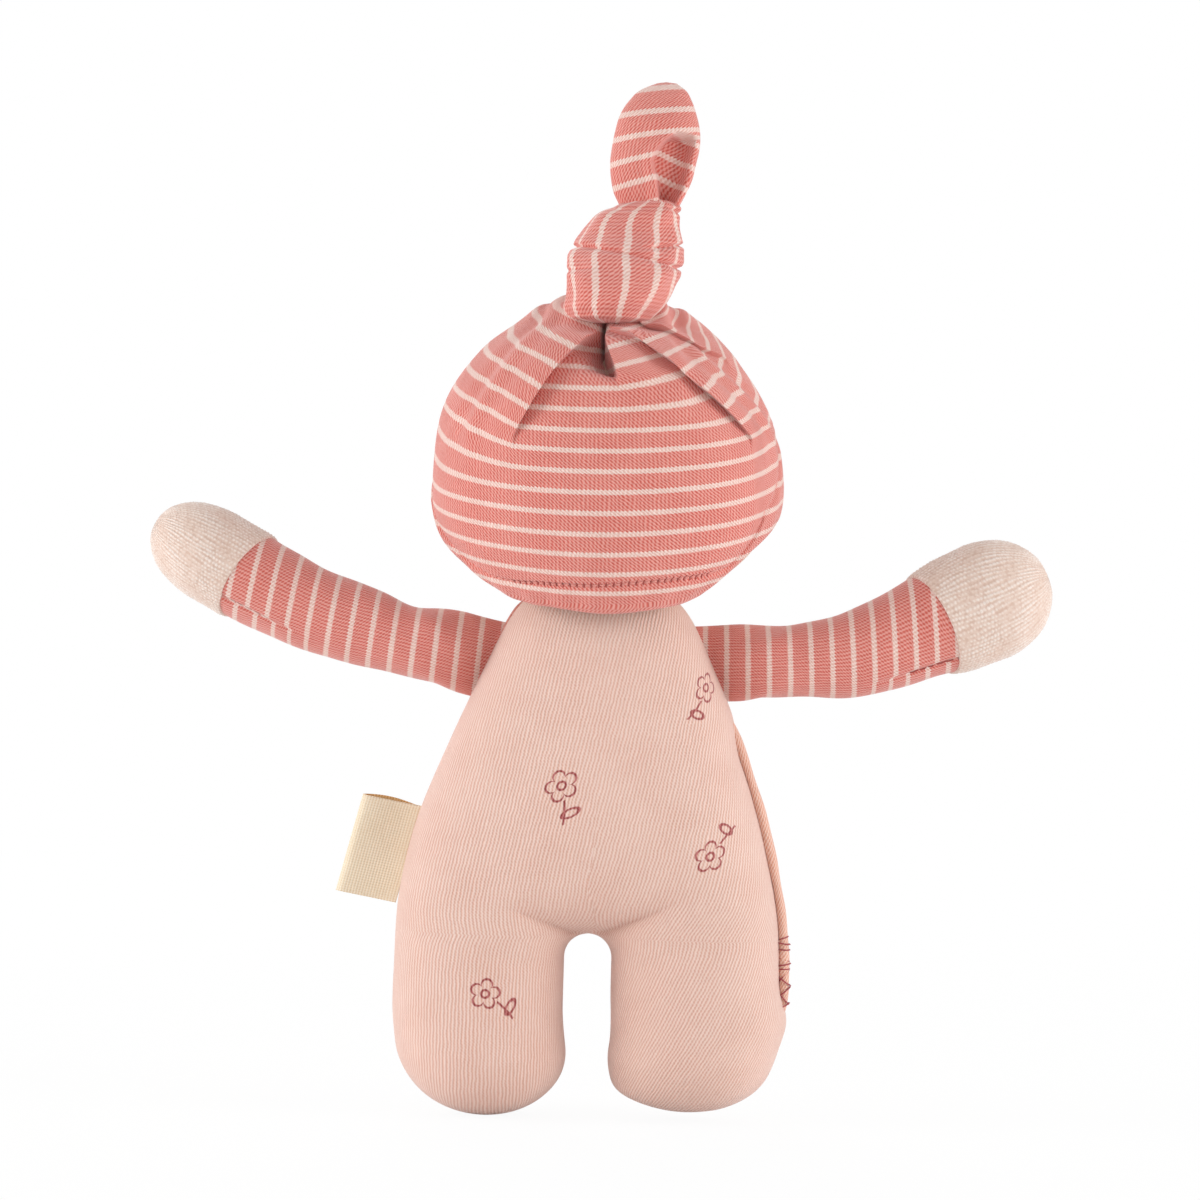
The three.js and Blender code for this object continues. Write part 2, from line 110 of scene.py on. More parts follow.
def colour(name, description, red, green, blue):
    """A colour setting, given as a display colour."""
    return FloatVectorProperty(name=name, description=description, default=srgb(red, green, blue), size=3,
                               subtype="COLOR", min=0.0, max=1.0)


class SuitSettings(bpy.types.PropertyGroup):
    """Sizes of the body and legs"""

    hip_width: length("Hip half width", "Half width of the body at the hips", mm(41.2))
    belly_width: length("Belly half width", "Half width of the body at the belly", mm(38.6))
    chest_width: length("Chest half width", "Half width of the body at the chest", mm(31.1))
    neck_width: length("Neck half width", "Half width of the body at the neck", mm(22.2))
    neck_rise: length("Neck rise", "Height of the rounded neck", mm(15.4))
    leg_width: length("Leg half width", "Half width of a leg", mm(18.5))
    leg_centre: length("Leg centre", "Distance of a leg's middle from the doll's middle", mm(23.5))
    sole_round: length("Sole round", "Height over which the foot rounds off", mm(15))
    notch_radius: length("Notch radius", "Half the gap between the legs", mm(5))
    crotch_height: length("Crotch height", "Top of the gap between the legs", mm(39))
    torso_fill: length("Torso fill", "Half depth at which the torso stops swelling", mm(31))
    leg_fill: length("Leg fill", "Half depth at which a leg stops swelling", mm(48))
    right_sole: length("Right sole", "How far the right sole stands above the left one", mm(1.8))
    crease_depth: length("Hip crease depth", "Depth of the crease between body and leg", mm(3.0))


class ArmSettings(bpy.types.PropertyGroup):
    """Sizes of the arms and hands"""

    flare: length("Flare", "Length over which the flat root becomes round", mm(14))
    root_depth: length("Root half depth", "Half depth at the sewn root", mm(0.8))
    left_drop: length("Left drop", "How far the left arm starts below its pivot", mm(1.2))
    right_drop: length("Right drop", "How far the right arm starts below its pivot", mm(0.9))
    left_wrist: length("Left wrist", "Distance of the left wrist seam from the shoulder seam", mm(53))
    right_wrist: length("Right wrist", "Distance of the right wrist seam from the shoulder seam", mm(46.8))
    left_reach: length("Left reach", "Length of the left arm", mm(76))
    right_reach: length("Right reach", "Length of the right arm", mm(73.6))
    left_wrist_bulge: length("Left wrist bulge", "How far the left wrist seam reaches out behind", mm(3))
    right_wrist_bulge: length("Right wrist bulge", "How far the right wrist seam reaches out behind", mm(3.4))
    left_wrist_tilt: length("Left wrist tilt", "How far the left wrist seam lies back above", mm(0.5))
    right_wrist_tilt: length("Right wrist tilt", "How far the right wrist seam lies back above", mm(0.3))
    left_seam: angle("Left underarm seam", "Turn of the left underarm seam from the top backwards", 130)
    right_seam: angle("Right underarm seam", "Turn of the right underarm seam from the top backwards", 140)
    tuft_height: length("Tuft height", "Height of the terry tufts", mm(0.42))
    tuft_pitch: length("Tuft pitch", "Spacing of the terry tufts", mm(0.95))


class HeadSettings(bpy.types.PropertyGroup):
    """Sizes of the head and places of the face"""

    middle: length("Head middle", "Height of the head's widest place", mm(132))
    forward: length("Head forward", "Offset of the head to the front", mm(0.7))
    half_width: length("Head half width", "Half width of the head", mm(35.4))
    half_depth: length("Head half depth", "Half depth of the head", mm(32))
    below: length("Head below", "Head's reach below its middle", mm(23.7))
    above: length("Head above", "Head's reach above its middle", mm(38.5))
    eye_spread: length("Eye spread", "Distance of an eye from the middle", mm(11))
    eye_height: length("Eye height", "Height of the eyes", mm(133))
    mouth_height: length("Mouth height", "Height of the mouth", mm(121.5))


class HatSettings(bpy.types.PropertyGroup):
    """Sizes of the hat"""

    half_width: length("Hat half width", "Half width of the hat", mm(36.9))
    half_depth: length("Hat half depth", "Half depth of the hat", mm(33.6))
    below: length("Hat below", "Hat's reach below the head's middle at the sides", mm(25))
    nape_drop: length("Nape drop", "Further reach of the hat at the nape", mm(8))
    above: length("Hat above", "Hat's reach above the head's middle", mm(43))
    hem_side: length("Hem at the sides", "Height of the hem at the sides", mm(125))
    hem_swing: length("Hem swing", "How fast the hem falls to the back and rises to the front", mm(29.2))
    hem_fold: length("Hem fold", "Width of the folded hem at the nape", mm(8))
    thickness: length("Hat thickness", "Thickness of the hat's cloth", mm(1))
    stripe_tilt: angle("Stripe tilt", "Tilt of the stripes towards the nape", 14.6)


class FinishSettings(bpy.types.PropertyGroup):
    """Colours and the scale of the knit"""

    coral: colour("Coral", "Ground of the striped jersey", 228, 160, 150)
    stripe: colour("Stripe", "Stripes of the striped jersey", 238, 213, 205)
    pale: colour("Pale jersey", "Jersey of the body", 234, 207, 196)
    terry: colour("Terry", "Terry of the hands", 239, 226, 218)
    skin: colour("Skin", "Tricot of the face", 233, 204, 185)
    blush: colour("Blush", "Tinted cheeks", 231, 158, 142)
    ribbon: colour("Ribbon", "Outside of the label", 238, 224, 202)
    # Ribbon inside: the same ribbon, painted a darker tan as shade inside the folded loop.
    ribbon_inside_shade: colour("Ribbon inside", "Inside of the label", 224, 184, 130)
    print_ink: colour("Print ink", "Line drawings printed on the body", 176, 84, 86)
    # Coral thread: the stitches of the right underarm seam, and the short dark threads in the hem's groove,
    # which are painted shade for the holes between the hem's stitches.
    coral_thread_and_hole_shade: colour("Coral thread", "Thread of the hem and sleeves", 184, 92, 84)
    red_thread: colour("Red thread", "Thread that closes the side seam", 176, 84, 90)
    eye_thread: colour("Eye thread", "Thread of the eyes", 70, 50, 44)
    # Seam lip: the body's pale jersey, painted a little darker and warmer as shade in the turned seam.
    seam_lip: colour("Seam lip", "Turned seam at the side", 236, 200, 184)
    # Shoulder seam: the body's pale jersey, painted salmon as shade in the turned seam under the hat's hem.
    shoulder_seam: colour("Shoulder seam", "Seam that shows at the left shoulder", 218, 158, 146)
    rattle: colour("Rattle", "Plastic of the rattle's two shells", 230, 230, 226)
    bead: colour("Bead", "Plastic of the beads", 201, 205, 210)
    stripe_period: number("Stripe period", "Stripe spacing in millimetres", 4.6)
    stripe_width: number("Stripe width", "Stripe width in millimetres", 1.12)
    wale: number("Wale", "Width of a column of stitches in millimetres", 0.79)
    course: number("Course", "Height of a row of stitches in millimetres", 0.64)
    hat_wale: number("Hat wale", "Width of the hat's columns in millimetres", 0.87)
    hat_course: number("Hat course", "Height of the hat's rows in millimetres", 0.78)


class StageSettings(bpy.types.PropertyGroup):
    """Camera and light"""

    lens: number("Lens", "Focal length in millimetres", 135.0)
    view_width: length("View width", "Width of the picture at the doll", mm(254.6))
    aim_height: length("Aim height", "Height that the camera looks at", mm(109.75))
    aim_side: length("Aim side", "Sideways place that the camera looks at", mm(0.5))
    roll: angle("Roll", "Turn of the camera about its line of sight", 1.7)
    key_power: number("Key power", "Key lamp", 9.5, unit="POWER")
    fill_power: number("Fill power", "Fill lamp", 9.5, unit="POWER")
    sky: number("Sky", "Strength of the surrounding light", 0.58)
    low_power: number("Low power", "Low lamp behind the camera", 1.7, unit="POWER")


SETTINGS = {
    "doll_suit": SuitSettings,
    "doll_arms": ArmSettings,
    "doll_head": HeadSettings,
    "doll_hat": HatSettings,
    "doll_finish": FinishSettings,
    "doll_stage": StageSettings,
}


# Curves and grids


def ease(low, high, value):
    """Smooth rise from 0 at low to 1 at high: 3 t^2 - 2 t^3 of the clipped share t."""
    share = np.clip((value - low) / (high - low), 0.0, 1.0)
    return share * share * (3.0 - 2.0 * share)


def through(at, places, values):
    """Cubic curve through stations, with the slope at each taken from its neighbours on both sides."""
    places, values = np.asarray(places, float), np.asarray(values, float)
    slopes = np.gradient(values, places)
    index = np.clip(np.searchsorted(places, at) - 1, 0, len(places) - 2)
    step = places[index + 1] - places[index]
    t = np.clip((at - places[index]) / step, 0.0, 1.0)
    rise, leave, arrive = t * t * (3 - 2 * t), t * (1 - t) ** 2, t * t * (t - 1)
    return (values[index] * (1 - rise) + values[index + 1] * rise
            + step * (leave * slopes[index] + arrive * slopes[index + 1]))


def hill(distance, width):
    """Bell curve of height 1 that falls off over a width."""
    return np.exp(-((distance / width) ** 2))


def run_length(points):
    """Distance along each row of a grid of points, from its first column."""
    steps = np.linalg.norm(np.diff(points, axis=1), axis=2)
    return np.concatenate([np.zeros((len(points), 1)), np.cumsum(steps, axis=1)], axis=1)


def value_at(place, places, values):
    """Value at one place in each row of a grid whose places rise along it, straight between columns."""
    index = np.clip(np.sum(places < place, axis=1, keepdims=True), 1, places.shape[1] - 1)
    low, high = (np.take_along_axis(places, index - step, 1) for step in (1, 0))
    first, last = (np.take_along_axis(values, index - step, 1) for step in (1, 0))
    return first + (last - first) * (place - low) / np.maximum(high - low, 1e-12)


def unit(vectors):
    """Vectors of length 1 along the last axis."""
    return vectors / np.maximum(np.linalg.norm(vectors, axis=-1, keepdims=True), 1e-12)


def grid_normals(points, around):
    """Outward unit normals of a grid: the cross product of its differences along rows and columns."""
    if around:
        across = np.roll(points, -1, axis=1) - np.roll(points, 1, axis=1)
    else:
        across = np.gradient(points, axis=1)
    normals = unit(np.cross(across, np.gradient(points, axis=0)))
    outward = np.sum(normals * (points - points.mean(axis=(0, 1))))
    return normals if outward > 0 else -normals


def close_columns(values):
    """A grid with its first column repeated at its end, for a surface that closes on itself."""
    return np.concatenate([values, values[:, :1]], axis=1)


def grid_corners(values):
    """Values of a grid at the four corners of each of its cells, going round the cell."""
    return np.stack([values[:-1, :-1], values[:-1, 1:], values[1:, 1:], values[1:, :-1]], axis=2)


def grid_quads(rows, columns, around, start):
    """Corner numbers of the quads of a grid of points that are numbered row by row from start."""
    index = start + np.arange(rows * columns).reshape(rows, columns)
    return grid_corners(close_columns(index) if around else index).reshape(-1, 4)


def build_piece(name, patches, finishes, weld=mm(0.02)):
    """One smooth mesh object from grids, welded where they meet.

    A patch is a dict with points (rows, columns, 3) and texture (rows, columns, 2), in millimetres. Its
    around says that the columns close on themselves, when the texture has a column more, and its finish is
    the number of its material. Each patch is turned to face away from the middle of its points, or from the
    given heart, and towards it where it is an inside.
    """
    corners, quads, textures, numbers = [], [], [], []
    start = 0
    for patch in patches:
        points, around = patch["points"], patch.get("around", False)
        faces = grid_quads(*points.shape[:2], around, start)
        loops = grid_corners(patch["texture"]).reshape(-1, 2)
        flat = points.reshape(-1, 3)
        a, b, c, d = (flat[faces[:, i] - start] for i in range(4))
        heart = patch.get("heart", flat.mean(axis=0))
        outward = np.sum(np.cross(c - a, d - b) * ((a + c) / 2 - heart)) > 0
        if outward == patch.get("inside", False):
            faces = faces[:, ::-1]
            loops = loops.reshape(-1, 4, 2)[:, ::-1].reshape(-1, 2)
        corners.append(flat)
        quads.append(faces)
        textures.append(loops)
        numbers.append(np.full(len(faces), patch.get("finish", 0)))
        start += len(flat)
    faces = np.concatenate(quads)
    mesh = bpy.data.meshes.new(name)
    mesh.vertices.add(start)
    mesh.vertices.foreach_set("co", np.concatenate(corners).astype(np.float32).ravel())
    mesh.loops.add(faces.size)
    mesh.polygons.add(len(faces))
    mesh.polygons.foreach_set("loop_start", np.arange(0, faces.size, 4, dtype=np.int32))
    mesh.polygons.foreach_set("vertices", faces.astype(np.int32).ravel())
    mesh.update(calc_edges=True)
    layer = mesh.uv_layers.new(name="cloth")
    layer.data.foreach_set("uv", np.concatenate(textures).astype(np.float32).ravel())
    mesh.polygons.foreach_set("material_index", np.concatenate(numbers).astype(np.int32))
    for finish in finishes:
        mesh.materials.append(finish)
    work = bmesh.new()
    work.from_mesh(mesh)
    bmesh.ops.remove_doubles(work, verts=work.verts, dist=weld)
    bmesh.ops.dissolve_degenerate(work, edges=work.edges, dist=weld / 10)
    work.to_mesh(mesh)
    work.free()
    mesh.polygons.foreach_set("use_smooth", np.ones(len(mesh.polygons), dtype=bool))
    mesh.update()
    piece = bpy.data.objects.new(name, mesh)
    bpy.context.scene.collection.objects.link(piece)
    return piece


def tube_patch(path, radius, sides=6):
    """A round thread along a path of points: circles of the radius square to the path, closed at both ends.

    The circles stand on two directions square to the path. The first is also square to a fixed guide, so a
    short thread doesn't twist.
    """
    along = unit(np.gradient(path, axis=0))
    first = unit(np.cross(along, THREAD_GUIDE))
    second = np.cross(along, first)
    turn = np.linspace(0, 2 * np.pi, sides, endpoint=False)
    ring = first[:, None] * np.cos(turn)[None, :, None] + second[:, None] * np.sin(turn)[None, :, None]
    points = path[:, None] + ring * radius
    points = np.concatenate([path[:1, None].repeat(sides, 1), points, path[-1:, None].repeat(sides, 1)])
    place = np.linspace(0, 1, len(points))[:, None] * np.ones(sides + 1)
    texture = np.stack([place, np.linspace(0, 1, sides + 1)[None] * np.ones((len(points), 1))], axis=-1)
    return {"points": points, "texture": texture, "around": True, "heart": path.mean(axis=0)}


# Shader node groups


class Nodes:
    """Shorthand for a node tree: makes nodes, sets their sockets and joins them."""

    def __init__(self, tree):
        self.tree = tree

    def add(self, kind, inputs=None, **settings):
        """A new node with its settings and its sockets."""
        node = self.tree.nodes.new(kind)
        for name, value in settings.items():
            setattr(node, name, value)
        for name, value in (inputs or {}).items():
            self.put(node.inputs[name], value)
        return node

    def put(self, socket, value):
        """Joins a socket to another one, or sets its value."""
        if isinstance(value, bpy.types.NodeSocket):
            self.tree.links.new(value, socket)
        else:
            socket.default_value = value

    def math(self, operation, first, second=0.0, third=0.0):
        """The result of a sum or a function."""
        node = self.add("ShaderNodeMath", operation=operation)
        for socket, value in zip(node.inputs, (first, second, third)):
            self.put(socket, value)
        return node.outputs[0]

    def range(self, value, low, high, new_low=0.0, new_high=1.0):
        """A smooth step between two limits."""
        node = self.add("ShaderNodeMapRange", interpolation_type="SMOOTHSTEP")
        for socket, entry in zip(node.inputs, (value, low, high, new_low, new_high)):
            self.put(socket, entry)
        return node.outputs[0]

    def mix(self, share, first, second, blend="MIX"):
        """A mix of two colours."""
        node = self.add("ShaderNodeMix", data_type="RGBA", blend_type=blend)
        self.put(node.inputs["Factor"], share)
        self.put(node.inputs["A"], first)
        self.put(node.inputs["B"], second)
        return node.outputs["Result"]

    def group(self, tree, **inputs):
        """The outputs of a node group with its inputs set."""
        node = self.add("ShaderNodeGroup", node_tree=tree)
        for name, value in inputs.items():
            self.put(node.inputs[name.replace("_", " ").title()], value)
        return node.outputs

    def split(self, vector):
        """X, Y and Z of a vector."""
        return self.add("ShaderNodeSeparateXYZ", {"Vector": vector}).outputs


def empty_tree(owner):
    """The cleared node tree of a material or a world."""
    owner.use_nodes = True
    owner.node_tree.nodes.clear()
    return Nodes(owner.node_tree)


def new_group(name, inputs, outputs):
    """An empty shader node group with named sockets, its nodes and its input sockets."""
    tree = bpy.data.node_groups.new(name, "ShaderNodeTree")
    for socket, kind in inputs.items():
        tree.interface.new_socket(name=socket, in_out="INPUT", socket_type=f"NodeSocket{kind}")
    for socket, kind in outputs.items():
        tree.interface.new_socket(name=socket, in_out="OUTPUT", socket_type=f"NodeSocket{kind}")
    nodes = Nodes(tree)
    entry = nodes.add("NodeGroupInput").outputs
    leave = nodes.add("NodeGroupOutput").inputs
    return nodes, entry, leave


def knit_group():
    """Jersey seen up close: columns of stitches crossed by the slanting threads of the stitches.

    The columns are a cosine across the cloth, and the threads a cosine of the difference between the phases
    of the columns and the courses, so that they slant. Rib is the columns' share. Both are moved about by
    slow noise, and the threads stand out in some places more than in others.
    """
    nodes, entry, leave = new_group(
        "Jersey Knit", {"Cloth": "Vector", "Wale": "Float", "Course": "Float", "Rib": "Float"},
        {"Height": "Float"})
    wander = nodes.add("ShaderNodeTexNoise", {"Vector": entry["Cloth"], "Scale": 0.4, "Detail": 2.0})
    drift = nodes.split(wander.outputs["Color"])
    place = nodes.split(entry["Cloth"])

    def phase(axis, size):
        return nodes.math("MULTIPLY_ADD", drift[axis], 0.8, nodes.math("DIVIDE", place[axis], size))

    def wave(value):
        return nodes.math("COSINE", nodes.math("MULTIPLY", value, 2 * math.pi))

    column, row = phase("X", entry["Wale"]), phase("Y", entry["Course"])
    thread = nodes.math("MULTIPLY", wave(nodes.math("SUBTRACT", column, row)),
                        nodes.range(drift["Z"], 0.3, 0.6, 0.55, 1.25))
    mixed = nodes.math("MULTIPLY_ADD", nodes.math("SUBTRACT", wave(column), thread), entry["Rib"], thread)
    nodes.put(leave["Height"], nodes.range(mixed, 0.75, -0.55))
    return nodes.tree


def blotch_group():
    """Slow and quick unevenness of a yarn's colour, as one factor about 0.5."""
    nodes, entry, leave = new_group(
        "Yarn Unevenness", {"Cloth": "Vector", "Size": "Float"}, {"Factor": "Float"})
    scaled = nodes.add("ShaderNodeVectorMath", operation="SCALE")
    nodes.put(scaled.inputs[0], entry["Cloth"])
    nodes.put(scaled.inputs["Scale"], nodes.math("DIVIDE", 1.0, entry["Size"]))
    slow = nodes.add("ShaderNodeTexNoise", {"Vector": scaled.outputs[0], "Scale": 1.0, "Detail": 3.0})
    quick = nodes.add("ShaderNodeTexNoise", {"Vector": scaled.outputs[0], "Scale": 17.0, "Detail": 2.0})
    nodes.put(leave["Factor"], nodes.math("MULTIPLY_ADD", quick.outputs[0], 0.45,
                                          nodes.math("MULTIPLY", slow.outputs[0], 0.55)))
    return nodes.tree


def stripe_group():
    """Bands across the cloth, with edges that step from stitch to stitch."""
    nodes, entry, leave = new_group(
        "Knitted Stripe",
        {"Cloth": "Vector", "Period": "Float", "Width": "Float", "Wale": "Float"}, {"Mask": "Float"})
    place = nodes.split(entry["Cloth"])
    column = nodes.math("DIVIDE", place["X"], entry["Wale"])
    tooth = nodes.math("MULTIPLY", nodes.math("PINGPONG", column, 0.5), 0.5)
    wander = nodes.add("ShaderNodeTexNoise", {"Vector": entry["Cloth"], "Scale": 1.1, "Detail": 1.0})
    along = nodes.math("ADD", nodes.math("ADD", place["Y"], tooth),
                       nodes.math("MULTIPLY_ADD", wander.outputs[0], 0.3, -0.15))
    half = nodes.math("MULTIPLY", entry["Period"], 0.5)
    away = nodes.math("PINGPONG", along, half)
    reach = nodes.math("MULTIPLY", entry["Width"], 0.5)
    outside, inside = nodes.math("ADD", reach, 0.1), nodes.math("SUBTRACT", reach, 0.1)
    nodes.put(leave["Mask"], nodes.range(away, outside, inside))
    return nodes.tree


def flower_group():
    """A line drawing of a flower: five petals, an eye, a stem and a leaf.

    The petals are where the distance from the middle is close to a radius that swings with the size of the
    cosine of two and a half times the direction, which has five humps. The eye is a small circle, the stem a
    short bent line below and the leaf an ellipse beside it.
    """
    nodes, entry, leave = new_group(
        "Printed Flower", {"Cloth": "Vector", "Centre": "Vector", "Size": "Float", "Turn": "Float"},
        {"Mask": "Float"})
    moved = nodes.add("ShaderNodeVectorMath", operation="SUBTRACT")
    nodes.put(moved.inputs[0], entry["Cloth"])
    nodes.put(moved.inputs[1], entry["Centre"])
    turned = nodes.add("ShaderNodeVectorRotate", {"Vector": moved.outputs[0], "Angle": entry["Turn"]},
                       rotation_type="Z_AXIS")
    place = nodes.split(turned.outputs[0])
    x, y = (nodes.math("DIVIDE", place[axis], entry["Size"]) for axis in ("X", "Y"))
    squares = nodes.math("ADD", nodes.math("MULTIPLY", x, x), nodes.math("MULTIPLY", y, y))
    distance = nodes.math("SQRT", squares)
    direction = nodes.math("ARCTAN2", x, y)
    swing = nodes.math("ABSOLUTE", nodes.math("COSINE", nodes.math("MULTIPLY", direction, 2.5)))
    petal = nodes.math("MULTIPLY_ADD", nodes.math("POWER", swing, 0.6), 0.46, 0.54)
    pen = nodes.math("DIVIDE", 0.22, entry["Size"])
    wide = nodes.math("MULTIPLY", pen, 1.7)

    def line(gap):
        return nodes.range(nodes.math("ABSOLUTE", gap), wide, nodes.math("MULTIPLY", pen, 0.5))

    outline = line(nodes.math("SUBTRACT", distance, petal))
    eye = line(nodes.math("SUBTRACT", distance, 0.26))
    bend = nodes.math("MULTIPLY", nodes.math("MULTIPLY", y, y), 0.09)
    below = nodes.math("MULTIPLY", nodes.math("LESS_THAN", y, -0.98), nodes.math("GREATER_THAN", y, -2.5))
    stem = nodes.math("MULTIPLY", line(nodes.math("SUBTRACT", x, bend)), below)
    leaf_x = nodes.math("DIVIDE", nodes.math("ADD", x, 0.05), 0.62)
    leaf_y = nodes.math("DIVIDE", nodes.math("ADD", y, 1.95), 0.3)
    leaf_gap = nodes.math("SUBTRACT", nodes.math("ADD", nodes.math("MULTIPLY", leaf_x, leaf_x),
                                                 nodes.math("MULTIPLY", leaf_y, leaf_y)), 0.8)
    leaf = line(nodes.math("MULTIPLY", leaf_gap, 0.2))
    mask = nodes.math("MAXIMUM", nodes.math("MAXIMUM", outline, eye), nodes.math("MAXIMUM", stem, leaf))
    nodes.put(leave["Mask"], mask)
    return nodes.tree


GROUP_MAKERS = {
    "knit": knit_group,
    "blotch": blotch_group,
    "stripe": stripe_group,
    "flower": flower_group,
}
GROUPS = {}
# Finishes that more than one operator uses
FINISHES = {}


def shared(name):
    """A node group, made when it is first asked for."""
    if name not in GROUPS:
        GROUPS[name] = GROUP_MAKERS[name]()
    return GROUPS[name]


def start_finish(name, roughness, sheen=0.0, sheen_roughness=0.5):
    """A new material, its nodes and its Principled shader."""
    material = bpy.data.materials.new(name)
    nodes = empty_tree(material)
    shader = nodes.add("ShaderNodeBsdfPrincipled", {
        "Roughness": roughness, "Sheen Weight": sheen, "Sheen Roughness": sheen_roughness,
        "Specular IOR Level": 0.2})
    output = nodes.add("ShaderNodeOutputMaterial")
    nodes.put(output.inputs["Surface"], shader.outputs[0])
    return material, nodes, shader


def cloth_map(nodes):
    """The piece's own map, in millimetres along the cloth."""
    return nodes.add("ShaderNodeUVMap", uv_map="cloth").outputs[0]


def end_finish(nodes, shader, tint, height, strength, distance):
    """Gives the shader its colour and the bump of a height."""
    nodes.put(shader.inputs["Base Color"], tint)
    bump = nodes.add("ShaderNodeBump", {"Strength": strength, "Distance": distance, "Height": height})
    nodes.put(shader.inputs["Normal"], bump.outputs[0])


def full(colour_setting):
    """A colour with its alpha."""
    return (*colour_setting, 1.0)


def shaded(nodes, base, amount, share):
    """A colour that goes down to a deeper tone where the share is low: its own square, by an amount."""
    deep = nodes.mix(amount, base, nodes.mix(1.0, base, base, "MULTIPLY"))
    return nodes.mix(share, deep, base)


def jersey_finish(name, base, finish, knit=None, striped=False, depth=0.9, rib=0.7, flowers=()):
    """Knitted jersey: columns of stitches, uneven yarn, a soft sheen, painted shade in the hollows between
    the stitches, and any stripes or flowers.
    """
    material, nodes, shader = start_finish(name, 0.92, 0.35, 0.45)
    cloth = cloth_map(nodes)
    wale, course = knit or (finish.wale, finish.course)
    tint = full(base)
    if striped:
        mask = nodes.group(shared("stripe"), cloth=cloth, period=finish.stripe_period,
                           width=finish.stripe_width, wale=wale)["Mask"]
        tint = nodes.mix(mask, tint, full(finish.stripe))
    for centre, size, turn in flowers:
        mask = nodes.group(shared("flower"), cloth=cloth, centre=(*centre, 0.0), size=size, turn=turn)["Mask"]
        tint = nodes.mix(nodes.math("MULTIPLY", mask, 0.86), tint, full(finish.print_ink))
    height = nodes.group(shared("knit"), cloth=cloth, wale=wale, course=course, rib=rib)["Height"]
    uneven = nodes.group(shared("blotch"), cloth=cloth, size=9.0)["Factor"]
    tint = shaded(nodes, tint, 0.16, nodes.range(uneven, 0.34, 0.62))
    # Painted shade: the colour goes deeper, by depth, where the knit's height is low, in the hollows between
    # the stitches.
    tint = shaded(nodes, tint, depth, height)
    end_finish(nodes, shader, tint, height, 0.5, mm(0.25))
    return material


def terry_finish(finish):
    """Looped terry: fine fibres on the modelled tufts, with painted shade that darkens the gaps between them,
    so their tops look paler.
    """
    material, nodes, shader = start_finish("loop_terry", 1.0, 0.5, 0.4)
    cloth = cloth_map(nodes)
    tuft = nodes.add("ShaderNodeAttribute", attribute_name="tuft").outputs["Fac"]
    uneven = nodes.group(shared("blotch"), cloth=cloth, size=6.0)["Factor"]
    fibre = nodes.add("ShaderNodeTexNoise", {"Vector": cloth, "Scale": 5.5, "Detail": 3.0})
    # Painted shade: the terry goes deeper in tone where the tufts are low, in the gaps between them.
    tint = shaded(nodes, full(finish.terry), 1.0, nodes.range(tuft, 0.0, 0.45))
    tint = shaded(nodes, tint, 0.15, nodes.range(uneven, 0.3, 0.66))
    clump = nodes.add("ShaderNodeTexNoise", {"Vector": cloth, "Scale": 1.1, "Detail": 2.0})
    tint = shaded(nodes, tint, 0.4, nodes.range(clump.outputs[0], 0.36, 0.56))
    end_finish(nodes, shader, tint, fibre.outputs[0], 0.5, mm(0.2))
    return material


def skin_finish(finish, head):
    """Brushed tricot of the face, with tinted cheeks and painted shade in the hollows of its knit."""
    material, nodes, shader = start_finish("skin_tricot", 0.85, 0.3, 0.4)
    place = nodes.add("ShaderNodeTexCoord").outputs["Object"]
    tint = full(finish.skin)
    for way in SIDES.values():
        middle = (way * head.eye_spread * 1.65, -head.half_depth, head.mouth_height + mm(3))
        gap = nodes.add("ShaderNodeVectorMath", operation="DISTANCE")
        nodes.put(gap.inputs[0], place)
        nodes.put(gap.inputs[1], middle)
        near = nodes.range(gap.outputs["Value"], mm(12), mm(3), 0.0, 0.55)
        tint = nodes.mix(near, tint, full(finish.blush))
    cloth = cloth_map(nodes)
    knit = nodes.group(shared("knit"), cloth=cloth, wale=0.52, course=0.42, rib=0.6)["Height"]
    uneven = nodes.group(shared("blotch"), cloth=cloth, size=8.0)["Factor"]
    tint = shaded(nodes, tint, 0.2, nodes.range(uneven, 0.3, 0.66))
    # Painted shade in the hollows between the stitches of the tricot.
    tint = shaded(nodes, tint, 0.4, knit)
    end_finish(nodes, shader, tint, knit, 0.35, mm(0.15))
    return material


def ribbon_finish(name, base):
    """Woven ribbon: fine ribs along its width crossed by finer threads, with painted shade in the grooves
    between them.
    """
    material, nodes, shader = start_finish(name, 0.62, 0.15, 0.4)
    cloth = cloth_map(nodes)
    place = nodes.split(cloth)
    rib = nodes.math("PINGPONG", nodes.math("DIVIDE", place["X"], 0.62), 0.5)
    thread = nodes.math("PINGPONG", nodes.math("DIVIDE", place["Y"], 0.55), 0.5)
    height = nodes.math("MULTIPLY_ADD", thread, 0.6, nodes.math("MULTIPLY", rib, 1.4))
    uneven = nodes.group(shared("blotch"), cloth=cloth, size=5.0)["Factor"]
    # Painted shade: the ribbon goes deeper in tone in the grooves between its ribs and threads.
    tint = shaded(nodes, full(base), 0.8, nodes.range(height, 0.05, 0.65))
    tint = shaded(nodes, tint, 0.2, nodes.range(uneven, 0.3, 0.66))
    end_finish(nodes, shader, tint, height, 0.5, mm(0.15))
    return material


def thread_finish(name, base):
    """Sewing thread: two plies that wind along its length, with painted shade in the groove between them."""
    material, nodes, shader = start_finish(name, 0.6, 0.2, 0.4)
    place = nodes.split(cloth_map(nodes))
    wind = nodes.math("ADD", nodes.math("MULTIPLY", place["X"], 7.0), nodes.math("MULTIPLY", place["Y"], 2.0))
    ply = nodes.math("MULTIPLY", nodes.math("PINGPONG", wind, 0.5), 2.0)
    # Painted shade where the plies dip, in the groove between them.
    end_finish(nodes, shader, shaded(nodes, full(base), 0.35, ply), ply, 0.5, mm(0.1))
    return material


